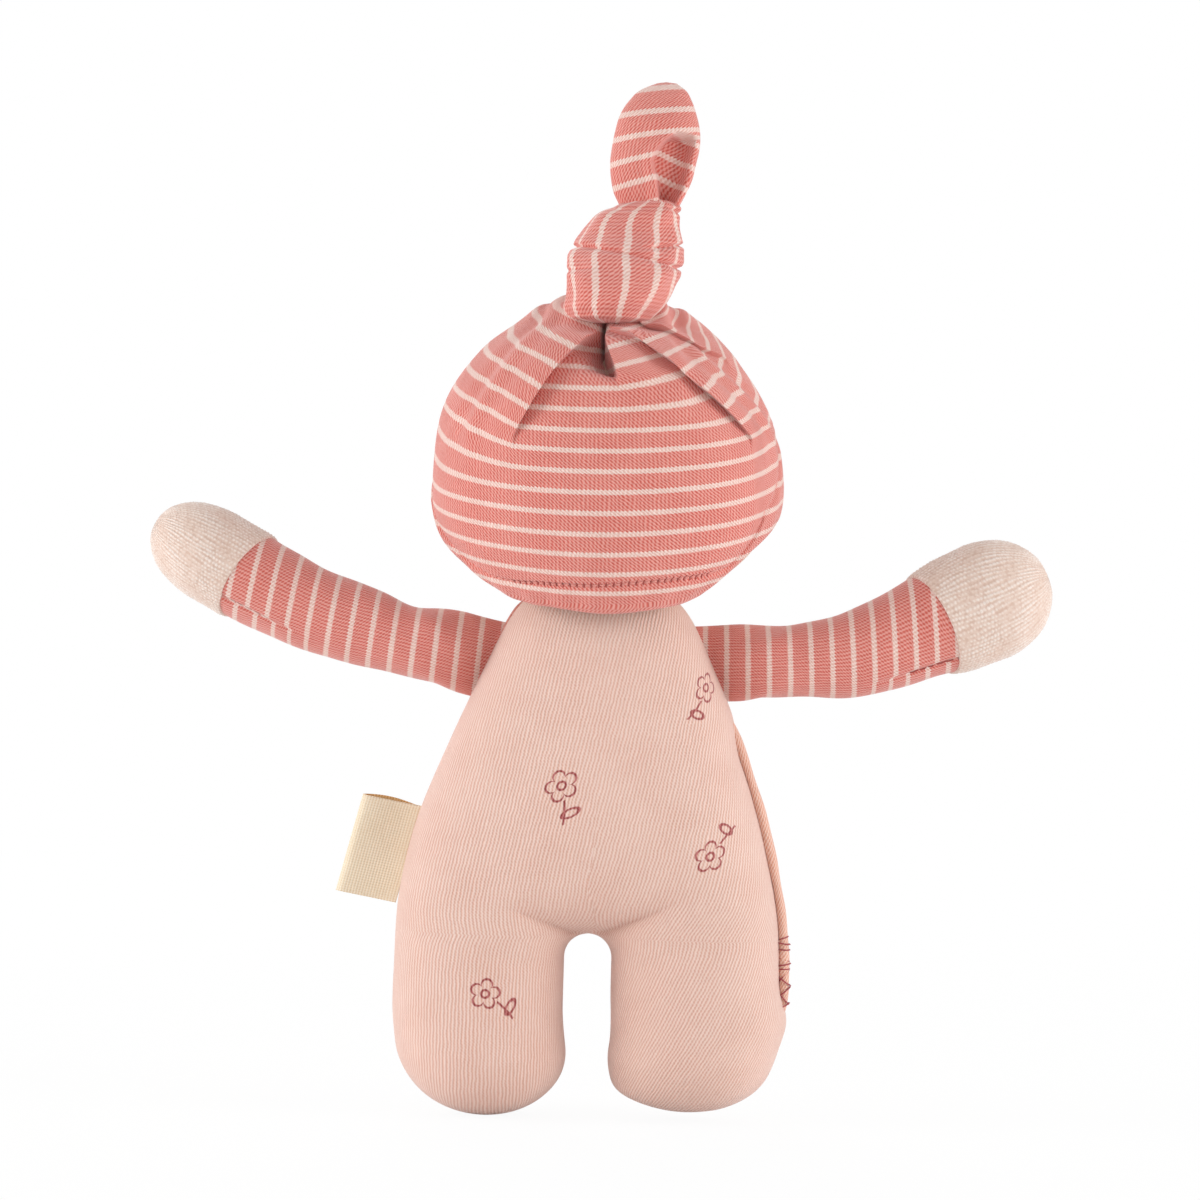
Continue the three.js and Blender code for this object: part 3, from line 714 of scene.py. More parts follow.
def plastic_finish(name, base, roughness):
    """Moulded plastic with a faint grain."""
    material, nodes, shader = start_finish(name, roughness)
    place = nodes.add("ShaderNodeTexCoord").outputs["Object"]
    grain = nodes.add("ShaderNodeTexNoise", {"Vector": place, "Scale": 900.0, "Detail": 2.0})
    tint = shaded(nodes, full(base), 0.4, grain.outputs[0])
    end_finish(nodes, shader, tint, grain.outputs[0], 0.15, mm(0.05))
    return material


# Suit: body and legs

# Tilt of the hip fold on each side
CREASE_TILT = {"left": math.radians(20), "right": math.radians(27)}
SUIT_LEVELS = mm([28, 47, 60, 80, 100])
NECK_FOLD = mm(100)
NECK_SLOPE = 0.33
CHEST_FLATTER = 0.16
CREASE_BAND = mm(19)
OVERLAP = mm(2)
OVERLAP_DROP = mm(0.15)
LIP_ROOM = mm(1.8)
NOTCH_SHIFT = mm(1.0)
LEG_DRIFT = mm(1.7)
# Height at which the lean of the wales changes, over what length, and the leans
LEAN_CHANGE = mm(46)
LEAN_BEND = mm(5)
BODY_LEAN = 0.225
LEG_LEAN = {"left": 0.0, "right": 0.52}
# The front panel's cloth coordinates are moved this far across, so that each panel has flowers of its own.
FRONT_SHIFT = 500.0
# Each flower's place on the cloth and its size in millimetres, and its turn
FLOWER_SPOTS = {
    "left": [((13, 71), 3.3, 0.5), ((22, 27), 3.1, 1.1),
             ((FRONT_SHIFT + 12, 60), 3.3, 0.2), ((FRONT_SHIFT + 25, 20), 3.0, 2.4)],
    "right": [((-22, 57), 3.2, 2.7), ((-14, 92), 3.0, -0.3),
              ((FRONT_SHIFT - 16, 84), 3.2, -0.4), ((FRONT_SHIFT - 27, 34), 3.1, 0.8)],
}


def suit_outline(suit, height):
    """Inner and outer edge of the left half of the suit at each height.

    Below, a leg is as wide as an ellipse of the sole's round allows, about a middle that drifts outwards.
    Above, the outer edge is a smooth curve through the body's half widths and then the neck, which slopes in
    as a straight line and is rounded off above by the root of 1 - t^4. The inner edge is the leg's own, then
    the arc of the notch, then a little past the doll's middle, under the other half.
    """
    lift = np.clip(1 - height / suit.sole_round, 0, 1)
    half = suit.leg_width * np.sqrt(1 - lift**2)
    middle = suit.leg_centre - LEG_DRIFT * (1 - ease(mm(6), mm(24), height))
    body = [suit.leg_centre + suit.leg_width, suit.hip_width, suit.belly_width, suit.chest_width,
            suit.neck_width]
    outer = np.where(height < SUIT_LEVELS[0], middle + half, through(height, SUIT_LEVELS, body))
    dome = np.clip((height - NECK_FOLD) / suit.neck_rise, 0, 1)
    neck = suit.neck_width * (1 - NECK_SLOPE * dome) * np.sqrt(1 - dome**4)
    outer = np.where(height > NECK_FOLD, neck, outer)
    arc_middle = suit.crotch_height - suit.notch_radius
    arc = np.sqrt(np.clip(suit.notch_radius**2 - np.maximum(height - arc_middle, 0) ** 2, 0, None))
    past = -OVERLAP * ease(suit.crotch_height, suit.crotch_height + mm(3), height)
    past = past * ease(NECK_FOLD + suit.neck_rise, NECK_FOLD + suit.neck_rise * 0.8, height)
    inner = np.where(height < arc_middle, middle - half, np.where(height < suit.crotch_height, arc, past))
    return inner, outer


def lip_room(height):
    """How far the right half stays back from the body's outline, where the turned seam stands out."""
    return LIP_ROOM * ease(mm(20), mm(30), height) * ease(mm(88), mm(76), height)


def right_waist(height):
    """How much slimmer the right side is than the left one: at the belly and round the sole's outer edge."""
    return mm(1.1) * hill(height - mm(58), mm(17)) + mm(1.2) * hill(height - mm(13), mm(6))


def suit_warp(x, height, side, inner, outer, crotch):
    """Place across the doll of a point of one half: the notch stands a little to the left of the middle.

    On the right the edge is drawn in for the turned seam, and the foot's inner corner is fuller below and
    slimmer above.
    """
    way = SIDES[side]
    notch = NOTCH_SHIFT * hill(x, mm(13)) * ease(crotch + mm(9), crotch - mm(3), height)
    if side == "left":
        return way * x + notch
    drawn = (lip_room(height) + right_waist(height)) * ease(0.45 * outer, outer + TINY, x)
    corner = mm(2.1) * hill(height - mm(3.2), mm(4.2)) - mm(0.9) * hill(height - mm(14.5), mm(7))
    return way * (x - drawn - corner * ease(inner + mm(13), inner, x)) + notch


def suit_depth(suit, x, height, inner, outer, side):
    """Half depth of the stuffed suit.

    The body's section is a circle between its two sides, the root of outer^2 - x^2. Towards the notch it is
    drawn in by the root of a share, which is the distance to the notch over the cube root of the sum of the
    cubes of that distance and of the distance to the opposite side. So a leg's section is about a circle
    between its own two edges. The swelling is limited by a hyperbolic tangent, because stuffing flattens a
    wide panel. A crease runs from the notch up along the hip fold.
    """
    arc_middle = suit.crotch_height - suit.notch_radius
    to_notch = np.where(height < arc_middle, x - inner, np.hypot(x, height - arc_middle) - suit.notch_radius)
    to_notch = np.maximum(to_notch, 0)
    across = outer + np.hypot(x, mm(3))
    share = to_notch / np.cbrt(to_notch**3 + across**3)
    swell = np.sqrt(np.maximum(outer**2 - x**2, 0) * share)
    fill = suit.leg_fill + (suit.torso_fill - suit.leg_fill) * ease(mm(28), mm(52), height)
    flatter = 1 - CHEST_FLATTER * ease(mm(62), NECK_FOLD, height)
    depth = flatter * fill * np.tanh(swell / fill)
    tilt = CREASE_TILT[side]
    rise = (np.hypot(x, mm(2)) - mm(2)) * math.tan(tilt)
    off_fold = (height - suit.crotch_height - rise) * math.cos(tilt)
    near = ease(mm(22), mm(4), np.abs(x)) * ease(0, mm(2.0), to_notch)
    sharp = 0.5 * hill(off_fold, mm(0.55)) + 0.6 * hill(off_fold, mm(1.5) + 0.06 * np.abs(x))
    crease = suit.crease_depth * near * sharp
    fuller = mm(0.9) * near * hill(off_fold - mm(6.5), mm(5))
    fuller = fuller + mm(0.7) * near * hill(off_fold + mm(6), mm(5))
    tuck = mm(0.5) * ease(mm(30), mm(12), np.abs(x)) * hill(off_fold + mm(8) + x * 0.12, mm(1.8))
    tuck = tuck * ease(0, mm(6), to_notch)
    place = SIDES[side] * x
    lumps = mm(0.35) * np.sin(place / mm(9) + height / mm(14)) * np.sin(height / mm(11) - place / mm(17))
    overlap = OVERLAP_DROP * np.clip(-x / OVERLAP, 0, 1) ** 1.3
    edge = ease(0, mm(9), swell)
    return np.maximum(depth - crease + fuller - tuck + lumps * edge - overlap, 0)


def suit_half(suit, side):
    """Back and front grid of one half of the suit, with cloth coordinates along the panels.

    Columns run from the inner to the outer edge, closer together at a seam, and rows from the sole to the top
    of the neck. The cloth coordinate across is the distance along a row from the leg's middle, and further up
    from the doll's middle. The wales lean on the body, and the other way on the right leg.
    """
    way = SIDES[side]
    sole = suit.sole_round * (1 - np.cos(np.linspace(0.0, np.pi / 2, 26)))
    arc_middle = suit.crotch_height - suit.notch_radius
    notch = arc_middle + suit.notch_radius * np.sin(np.linspace(0, np.pi / 2, 16))
    neck = NECK_FOLD + suit.neck_rise * np.sin(np.linspace(0, np.pi / 2, 22))
    height = np.concatenate([
        sole, np.linspace(suit.sole_round, arc_middle, 30)[1:], notch[1:],
        np.linspace(suit.crotch_height, suit.crotch_height + CREASE_BAND, 58)[1:],
        np.linspace(suit.crotch_height + CREASE_BAND, NECK_FOLD, 58)[1:], neck[1:]])
    inner, outer = suit_outline(suit, height)
    t = np.linspace(0, 1, 74)
    whole = (1 - np.cos(np.pi * t)) / 2
    half = np.sin(np.pi * t / 2)
    above = ease(suit.crotch_height, suit.crotch_height + mm(14), height)[:, None]
    spread = whole * (1 - above) + half * above
    x = inner[:, None] + (outer - inner)[:, None] * spread
    z = height[:, None] * np.ones_like(t)
    depth = suit_depth(suit, x, z, inner[:, None], outer[:, None], side)
    place = suit_warp(x, z, side, inner[:, None], outer[:, None], suit.crotch_height)
    lift = (suit.right_sole * ease(mm(20), 0, z)) if side == "right" else 0
    below_hip = np.logaddexp(0, (LEAN_CHANGE - z) / LEAN_BEND) * LEAN_BEND
    above_hip = np.logaddexp(0, (z - LEAN_CHANGE) / LEAN_BEND) * LEAN_BEND
    lean = BODY_LEAN * above_hip - LEG_LEAN[side] * below_hip
    middle = (inner + outer)[:, None] / 2
    share = ease(mm(30), mm(62), z)
    heart = np.array([way * mm(12), 0, mm(50)])
    patches = []
    for face, shift in ((1.0, 0.0), (-1.0, FRONT_SHIFT)):
        points = np.stack([place, face * depth, z + lift], axis=-1)
        run = run_length(points)
        from_leg = middle + run - value_at(middle, x, run)
        from_middle = run + np.minimum(inner, 0)[:, None]
        across = way * (from_leg * (1 - share) + from_middle * share)
        texture = np.stack([(across + lean) / mm(1) + shift, z / mm(1)], axis=-1)
        patches.append({"points": points, "texture": texture, "heart": heart})
    return patches


def bend_at_hip(piece):
    """Bakes a piece's placement into its mesh."""
    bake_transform(piece)


class DOLL_OT_suit(bpy.types.Operator):
    """Make the stuffed body and legs, as two halves"""

    bl_idname = "doll.suit"
    bl_label = "Suit"

    def execute(self, context):
        suit, finish = context.scene.doll_suit, context.scene.doll_finish
        for side in SIDES:
            cloth = jersey_finish(f"pale_jersey_{side}", finish.pale, finish, flowers=FLOWER_SPOTS[side])
            piece = build_piece(f"suit_{side}", suit_half(suit, side), [cloth])
            bend_at_hip(piece)
            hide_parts("torso_front_panel", "torso_back_panel", "torso_front_filling",
                        "torso_back_filling", f"{side}_leg_front_panel", f"{side}_leg_back_panel",
                        f"{side}_leg_filling")
        return {"FINISHED"}


# Arms: distances along each arm with the climb there, and distances with the half height and depth share

ARM_ROOT_TUCK = mm(5)
ARM_CLIMB_AT = {"left": mm([0, 10, 30, 40, 50, 78]), "right": mm([0, 16, 26, 34, 42, 78])}
ARM_CLIMB = {"left": np.radians([12, 14, 15, 22, 27, 28]), "right": np.radians([3.5, 5, 9.5, 21.5, 24, 22.5])}
ARM_SIZE_AT = {"left": mm([0, 3, 10, 20, 31, 40, 48, 55, 62]),
               "right": mm([0, 3.5, 10, 16, 26.5, 36, 44, 52, 59.5])}
ARM_SIZE = {"left": mm([8.6, 8.5, 8.05, 8.2, 8.6, 8.9, 9.35, 9.6, 9.6]),
            "right": mm([8.5, 8.35, 7.8, 7.65, 8.8, 9.75, 10.5, 11.9, 12.3])}
ARM_DEPTH = {"left": [1, 1, 1, 1, 1, 1, 1.06, 1.15, 1.22],
             "right": [1, 1, 1, 1, 0.97, 0.95, 0.92, 0.89, 0.88]}
# The first stripe's distance from the doll's middle, the stripes' spacing and their lean at root and wrist
SLEEVE_STRIPES = {"left": (mm(30.5), mm(4.6), 0.096, 0.21), "right": (mm(26.8), mm(4.435), 0.03, 0.105)}
TUFT_SPACING = 0.85
SLEEVE_ROWS = 124
# Place and depth of the dent on top of each arm
ARM_PINCH = {"left": (mm(18), mm(1.5)), "right": (mm(12), mm(0.2))}


def arm_frame(arms, side, along):
    """Middle line of an arm and its upward direction, at distances from the shoulder seam.

    The line lies in the XZ plane and is the running sum of its climb. The upward direction turns from the
    seam's lean to square to the line within the flare.
    """
    way = SIDES[side]
    pivot, axis = joint_place(f"{side}_shoulder_swing")
    lean = math.atan2(-way * axis[0], axis[2])
    steps = np.linspace(-ARM_ROOT_TUCK, mm(80), 341)
    slopes = through((steps[1:] + steps[:-1]) / 2, ARM_CLIMB_AT[side], ARM_CLIMB[side])
    out = np.concatenate([[0], np.cumsum(np.cos(slopes) * np.diff(steps))])
    up = np.concatenate([[0], np.cumsum(np.sin(slopes) * np.diff(steps))])
    out, up = out - np.interp(0, steps, out), up - np.interp(0, steps, up)
    climb = through(along, ARM_CLIMB_AT[side], ARM_CLIMB[side])
    middle = np.stack([pivot[0] + way * np.interp(along, steps, out), np.zeros_like(climb),
                       pivot[2] - getattr(arms, f"{side}_drop") + np.interp(along, steps, up)], axis=-1)
    turn = lean + (climb - lean) * np.clip(along / arms.flare, 0, 1)
    return middle, np.stack([-way * np.sin(turn), np.zeros_like(turn), np.cos(turn)], axis=-1)


def arm_size(arms, side, along):
    """Half height and half depth of an arm at distances from its seam; the root is flat, the tip round."""
    palm, reach = ARM_SIZE_AT[side][-1], getattr(arms, f"{side}_reach")
    tall = through(along, ARM_SIZE_AT[side], ARM_SIZE[side])
    deep = tall * through(along, ARM_SIZE_AT[side], ARM_DEPTH[side])
    deep = arms.root_depth + (deep - arms.root_depth) * np.sin(np.pi / 2 * np.clip(along / arms.flare, 0, 1))
    tip = np.sqrt(np.clip(1 - np.clip((along - palm) / (reach - palm), 0, 1) ** 2, 0, 1))
    return tall * tip, deep * tip


def arm_grid(arms, side, along, turn, inset):
    """Points round the arm: an ellipse on the upward direction and Y at each distance, drawn in by an inset.

    The upper side has a bell-shaped dent, where the cloth folds as the arm is lifted.
    """
    middle, upward = arm_frame(arms, side, along)
    height, depth = arm_size(arms, side, along)
    place, dent = ARM_PINCH[side]
    pinch = dent * hill(along - place, mm(5)) * np.maximum(np.cos(turn), 0) ** 2
    points = middle + upward * (np.maximum(height - inset, 0) * np.cos(turn) - pinch)[..., None]
    points[..., 1] += np.maximum(depth - inset, 0) * np.sin(turn)
    return points


def wrist_line(arms, side, turn):
    """Distance of the wrist seam from the shoulder: a slanted plane across the arm."""
    wrist, bulge, tilt = (getattr(arms, f"{side}_{name}") for name in ("wrist", "wrist_bulge", "wrist_tilt"))
    return wrist + bulge * np.sin(turn) - tilt * np.cos(turn)


def sleeve_grid(arms, side, columns=128):
    """Sleeve from inside the shoulder seam to inside the wrist seam, with a groove along its underarm seam.

    Small folds cross the flare, where the cloth is gathered, and slow waves run along the sleeve.
    """
    turn = np.linspace(0, 2 * np.pi, columns, endpoint=False)[None]
    share = np.linspace(0, 1, SLEEVE_ROWS)[:, None]
    wrist = wrist_line(arms, side, turn)
    sleeve = -ARM_ROOT_TUCK + (wrist + ARM_ROOT_TUCK) * share
    along = np.concatenate([sleeve, wrist + mm([[0.3], [0.35], [0.1]])])
    inset = np.zeros_like(along)
    inset[-4:] = mm([[0.0], [0.35], [1.0], [2.2]])
    points = arm_grid(arms, side, along, turn, inset)
    normals = grid_normals(points, True)
    past_seam = np.angle(np.exp(1j * (turn - getattr(arms, f"{side}_seam"))))
    near_wrist = ease(wrist - mm(24), wrist - mm(8), along)
    groove = -mm(0.45) * hill(past_seam * mm(9), mm(0.6)) * near_wrist
    waves = mm(0.16) * np.sin(3 * turn + along / mm(5)) * np.sin(along / mm(3.4))
    folds = mm(0.3) * np.sin(5 * turn + along / mm(5)) * hill(along - arms.flare * 0.75, mm(6))
    swell = (groove + waves + folds) * ease(0, mm(8), along)
    return points + normals * swell[..., None], normals, along, turn, past_seam


def sleeve_patch(arms, side, finish):
    """Sleeve with its stripes, which lean less than the arm and near the wrist don't meet at the seam."""
    points, _, along, turn, past_seam = sleeve_grid(arms, side)
    pivot, _ = joint_place(f"{side}_shoulder_swing")
    first, period, root_lean, wrist_lean = SLEEVE_STRIPES[side]
    out = np.abs(points[..., 0])
    lean = root_lean + (wrist_lean - root_lean) * np.clip((out - first) / mm(45), 0, 1.2)
    wrist = wrist_line(arms, side, turn)
    offset = 0.45 * (past_seam > 0) * ease(wrist - mm(20), wrist - mm(9), along)
    count = (out + (points[..., 2] - pivot[2]) * lean - first) / period + offset
    across = np.linspace(0, 2 * np.pi, turn.size + 1)[None] * mm(9) + np.zeros((len(along), 1))
    texture = np.stack([across / mm(1), close_columns(count) * finish.stripe_period], axis=-1)
    return {"points": points, "texture": texture, "around": True}


def underarm_stitches(arms, side):
    """Back stitches along the underarm seam near the wrist."""
    points, normals, along, _, past_seam = sleeve_grid(arms, side)
    column = int(np.argmin(np.abs(past_seam)))
    place = along[:SLEEVE_ROWS, column]
    patches = []
    for start in place[-1] - mm(1.2) - np.arange(1, 6) * mm(1.9):
        rows = np.searchsorted(place, start + np.linspace(0, mm(1.5), 5))
        path = points[rows, column] + normals[rows, column] * mm([[0.0], [0.2], [0.24], [0.2], [0.0]])
        patches.append(tube_patch(path, mm(0.16), 5))
    return patches


def mitt_patch(arms, side):
    """Terry mitt from inside the wrist seam to its tip, with tufts in rows along the hand.

    A tuft is a product of squared sines of the distances round and along the hand, staggered from row to row.
    The rows sway, and the height of the tufts varies with slow waves.
    """
    columns = 312
    turn = np.linspace(0, 2 * np.pi, columns, endpoint=False)[None]
    wrist = wrist_line(arms, side, turn)
    palm, reach = ARM_SIZE_AT[side][-1], getattr(arms, f"{side}_reach")
    tucked = wrist + mm([[0.1], [-0.1], [0.05]])
    share = np.linspace(0, 1, 64)[:-1, None]
    hand = wrist + mm(0.2) + (palm - mm(0.2) - wrist) * share
    tip = reach - (reach - palm) * (1 - np.sin(np.linspace(0, np.pi / 2, 76)))[:, None]
    along = np.concatenate([tucked, hand, tip + np.zeros_like(turn)])
    inset = np.full_like(along, -mm(0.35))
    inset[:4] += mm([[2.2], [1.0], [0.35], [0.0]])
    points = arm_grid(arms, side, along, turn, inset)
    normals = grid_normals(points, True)
    steps = np.linalg.norm(np.diff(points, axis=0), axis=2)
    down = np.concatenate([np.zeros_like(turn), np.cumsum(steps, axis=0)])
    down = down - down[len(tucked) + len(hand)]
    rows = round(2 * math.pi * mm(11) / arms.tuft_pitch)
    sway = 0.7 * np.sin(3 * turn + down / mm(3.7)) + 0.5 * np.sin(13 * turn - down / mm(1.9))
    phase = rows * turn / 2 + sway
    stagger = 0.5 * np.floor(phase / np.pi + 0.5)
    uneven = 0.8 * np.sin(17 * turn + down / mm(1.3)) * np.sin(5 * turn - down / mm(3.1))
    climb = np.pi * (down / (arms.tuft_pitch * TUFT_SPACING) + stagger) + uneven
    wave = 0.66 + 0.34 * np.sin(turn * 7 + down / mm(2.3)) * np.sin(turn * 3 - down / mm(4))
    wave = wave * (0.8 + 0.2 * np.sin(turn * 31 + down / mm(0.9)) * np.sin(turn * 23 - down / mm(0.7)))
    tuft = np.sin(phase + np.pi / 2) ** 2 * (0.3 + 0.7 * np.sin(climb) ** 2) * wave
    tuft = tuft * (0.25 + 0.75 * ease(mm(0.2), mm(5), np.linalg.norm(points - points[-1:, :1], axis=2)))
    lift = arms.tuft_height * tuft * ease(wrist, wrist + mm(1.0), along)
    points = points + normals * lift[..., None]
    points[-1] = points[-1].mean(axis=0)
    across = np.linspace(0, 2 * np.pi, columns + 1)[None] * mm(11) + np.zeros((len(along), 1))
    texture = np.stack([across, close_columns(down)], axis=-1) / mm(1)
    return {"points": points, "texture": texture, "around": True}, tuft


def add_value(piece, name, values):
    """Gives each vertex of a piece the value of the grid point that it came from, in the grid's order."""
    flat = values.ravel()[:len(piece.data.vertices)]
    attribute = piece.data.attributes.new(name, "FLOAT", "POINT")
    attribute.data.foreach_set("value", flat.astype(np.float32))


class DOLL_OT_arms(bpy.types.Operator):
    """Make the striped sleeves and the terry mitts"""

    bl_idname = "doll.arms"
    bl_label = "Arms"

    def execute(self, context):
        arms, finish = context.scene.doll_arms, context.scene.doll_finish
        stripes = jersey_finish("striped_jersey_sleeve", finish.coral, finish, striped=True, depth=1.0,
                                rib=0.52)
        terry = terry_finish(finish)
        threads = {"left": thread_finish("pale_thread", finish.stripe),
                   "right": thread_finish("sleeve_thread", finish.coral_thread_and_hole_shade)}
        for side in SIDES:
            sleeve = build_piece(f"sleeve_{side}", [sleeve_patch(arms, side, finish)], [stripes])
            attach(sleeve, f"{side}_arm")
            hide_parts(f"{side}_sleeve", f"{side}_arm_filling")
            patches = underarm_stitches(arms, side)
            stitches = build_piece(f"underarm_stitches_{side}", patches, [threads[side]], weld=THREAD_WELD)
            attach(stitches, f"{side}_arm")
            patch, tuft = mitt_patch(arms, side)
            mitt = build_piece(f"mitt_{side}", [patch], [terry], weld=mm(0.002))
            add_value(mitt, "tuft", tuft)
            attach(mitt, f"{side}_arm")
            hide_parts(f"{side}_hand_mitt", f"{side}_hand_filling")
        return {"FINISHED"}


# Head


def egg(half_width, half_depth, below, above, middle, forward, turn, climb):
    """Points on an egg: an ellipse round Z, with its own reach below and above the middle.

    turn goes from the back (+Y) towards +X and climb from the lower to the upper pole.
    """
    reach = np.where(climb < 0, below, above)
    level = np.cos(climb)
    x, y = half_width * level * np.sin(turn), half_depth * level * np.cos(turn) - forward
    return np.stack(np.broadcast_arrays(x, y, middle + reach * np.sin(climb)), axis=-1)


def head_egg(head, turn, climb):
    """Points on the head's own egg."""
    return egg(head.half_width, head.half_depth, head.below, head.above, head.middle, head.forward,
               turn, climb)


def neck_socket_climb(head, suit, turn):
    """Climb at which the head's egg comes out of the rounded neck, found by halving an interval."""
    low, high = np.full_like(turn, -np.pi / 2), np.full_like(turn, 0.0)
    for _ in range(40):
        middle = (low + high) / 2
        x, y, z = np.moveaxis(head_egg(head, turn, middle), -1, 0)
        _, wide = suit_outline(suit, z)
        deep = (1 - CHEST_FLATTER) * suit.torso_fill * np.tanh(wide / suit.torso_fill)
        inside = (x / np.maximum(wide, 1e-6)) ** 2 + (y / np.maximum(deep, 1e-6)) ** 2 < 1
        low, high = np.where(inside, middle, low), np.where(inside, high, middle)
    return high


def head_patch(head, suit):
    """Face and back of the head from the neck's socket to the crown, with a small round nose."""
    rows, columns = 120, 168
    turn = np.linspace(0, 2 * np.pi, columns, endpoint=False)
    lowest = neck_socket_climb(head, suit, turn)
    share = np.linspace(0, 1, rows)
    climb = lowest + (np.pi / 2 - lowest) * share[:, None]
    points = head_egg(head, turn[None], climb)
    normals = grid_normals(points, True)
    nose = np.array([0, -head.half_depth - head.forward, (head.eye_height + head.mouth_height) / 2 + mm(0.5)])
    gap = np.linalg.norm(points - nose, axis=2)
    sink = mm(7) * ease(math.radians(20), math.radians(48), climb)
    points = points + normals * (mm(2.6) * hill(gap, mm(2.9)) - sink)[..., None]
    tuck = points[:1] + np.array([0, 0, mm(3)]) - normals[:1] * mm(0.2)
    points = np.concatenate([tuck, points])
    points[-1] = points[-1].mean(axis=0)
    rise = np.concatenate([np.zeros((1, columns)), climb * (head.below + head.above) / 2])
    across = np.linspace(0, 2 * np.pi, columns + 1)[None] * head.half_width * np.ones((rows + 1, 1))
    texture = np.stack([across, close_columns(rise)], axis=-1) / mm(1)
    return {"points": points, "texture": texture, "around": True, "heart": np.array([0, 0, head.middle])}


def on_face(head, x, z, lift):
    """Points on the front of the head at sideways places and heights, raised by a lift."""
    reach = np.where(z < head.middle, head.below, head.above)
    inside = 1 - (x / head.half_width) ** 2 - ((z - head.middle) / reach) ** 2
    y = -head.half_depth * np.sqrt(np.maximum(inside, 0)) - head.forward
    point = np.stack([x, y, z], axis=-1)
    normal = unit(np.stack([x / head.half_width**2, (y + head.forward) / head.half_depth**2,
                            (z - head.middle) / reach**2], axis=-1))
    return point + normal * np.asarray(lift)[..., None]


def face_patches(head):
    """Embroidered eyes, each a fan of satin stitches, and a mouth of four back stitches on an arc."""
    patches = []
    for way in SIDES.values():
        for share in np.linspace(-0.9, 0.9, 9):
            half = mm(2.1) * math.sqrt(1 - share**2)
            z = head.eye_height + np.linspace(-half, half, 9)
            x = np.full(9, way * head.eye_spread + share * mm(1.7))
            lift = mm(0.28) * np.sqrt(np.clip(1 - np.linspace(-1, 1, 9) ** 2, 0, 1))
            patches.append(tube_patch(on_face(head, x, z, lift), mm(0.24)))
    for start in np.linspace(-0.62, 0.31, 4):
        sweep = np.linspace(start, start + 0.29, 8)
        x = mm(9) * np.sin(sweep)
        z = head.mouth_height + mm(9) * (1 - np.cos(sweep))
        lift = mm(0.25) * np.sin(np.linspace(0, np.pi, 8))
        patches.append({**tube_patch(on_face(head, x, z, lift), mm(0.26)), "finish": 1})
    return patches


class DOLL_OT_head(bpy.types.Operator):
    """Make the head with its embroidered face"""

    bl_idname = "doll.head"
    bl_label = "Head"

    def execute(self, context):
        head, suit, finish = context.scene.doll_head, context.scene.doll_suit, context.scene.doll_finish
        piece = build_piece("head_skin", [head_patch(head, suit)], [skin_finish(finish, head)])
        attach(piece, "head")
        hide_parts("head_face_panel", "head_back_panel", "head_filling")
        threads = [thread_finish("eye_thread", finish.eye_thread),
                   thread_finish("mouth_thread", finish.red_thread)]
        face = build_piece("face_embroidery", face_patches(head), threads, weld=THREAD_WELD)
        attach(face, "head")
        return {"FINISHED"}


# Hat

# A fold of the gathered crown: the column that it keeps, its direction at its lower and upper end and the
# climbs of those ends, all in degrees, then the side that lies on top, its height, the recess beside it
# and its overhang in millimetres, and how steeply the stripes run down to it
Fold = namedtuple("Fold", "column low high start end way height recess overhang slope")
HAT_FOLDS = [
    Fold(-150, -150, -120, 40, 62, 1, 0.7, 0.3, 0.6, 0.0),
    Fold(-112, -112, -80, 40, 62, 1, 0.7, 0.3, 0.6, 0.0),
    Fold(-78, -66, -22, 43, 58, -1, 1.0, 0.6, 1.3, 0.1),
    Fold(-44, -58, -1.5, 17, 57, -1, 1.7, 0.9, 2.3, 0.19),
    Fold(-4, -5, 2, 34, 56, -1, 2.4, 2.4, 1.5, 0.33),
    Fold(26, 31, 6, 15, 57, 1, 2.0, 1.0, 1.9, 0.38),
    Fold(116, 116, 90, 40, 62, -1, 0.7, 0.3, 0.6, 0.0),
    Fold(158, 158, 140, 40, 62, 1, 0.7, 0.3, 0.6, 0.0),
]
RIGHT_FLAP = 3
MIDDLE_FOLD = 4
# Distance from a fold at which its edge reaches furthest, in millimetres
FOLD_EDGE = 0.85
POCKET_DEPTH = mm(6.5)
# Directions in degrees between which the stripes' slant fades in from the front, and its reach on the cloth
SLANT_END = (165, 75)
SLANT_REACH = mm(14)
# Folds whose stripes slope more than this have soft waves, this far off in millimetres and this high
STEEP_STRIPES = 0.15
SOFT_PLEAT = 13.0
PLEAT_HEIGHT = mm(0.5)
# Rows of the hem, as shares of its fold's width, and how many of them turn in below
HEM_ROWS = np.array([0, 0.05, 0.13, 0.23, 0.38, 0.55, 0.72, 0.83, 0.89, 0.945, 1, 1.055, 1.11, 1.17, 1.28,
                     1.45, 1.66])
HEM_BAND_ROWS = 14
# Number of the row in the groove of the stitches
HEM_GROOVE_ROW = 10
HEM_PITCH = mm(1.95)
# How much narrower the hem is on the left side, and wider on the right one
HEM_SKEW = mm(2)
# Slope of the stripes across the hat, how much closer they lie above the head's middle and on the right
# flap, and the climb above which their tilt no longer changes
STRIPE_ROLL = 0.028
STRIPE_CLOSER = 0.125
FLAP_CLOSER = 0.3
STRIPE_TURN = math.radians(36)
# Directions between which short dark threads cross the hem's groove: painted shade for the dark holes between
# the stitches
HOLE_SHADE_TICKS = np.radians([-48, 42])
HAT_STRIPE_START = mm(2.75)
# Stripes are counted up again below this height, so that the hem's edge stays plain.
PLAIN_EDGE = mm(111.6)
# Where the cloth is gathered, below the knot
GATHER = np.array(mm([0.8, 15.5, 169.2]))


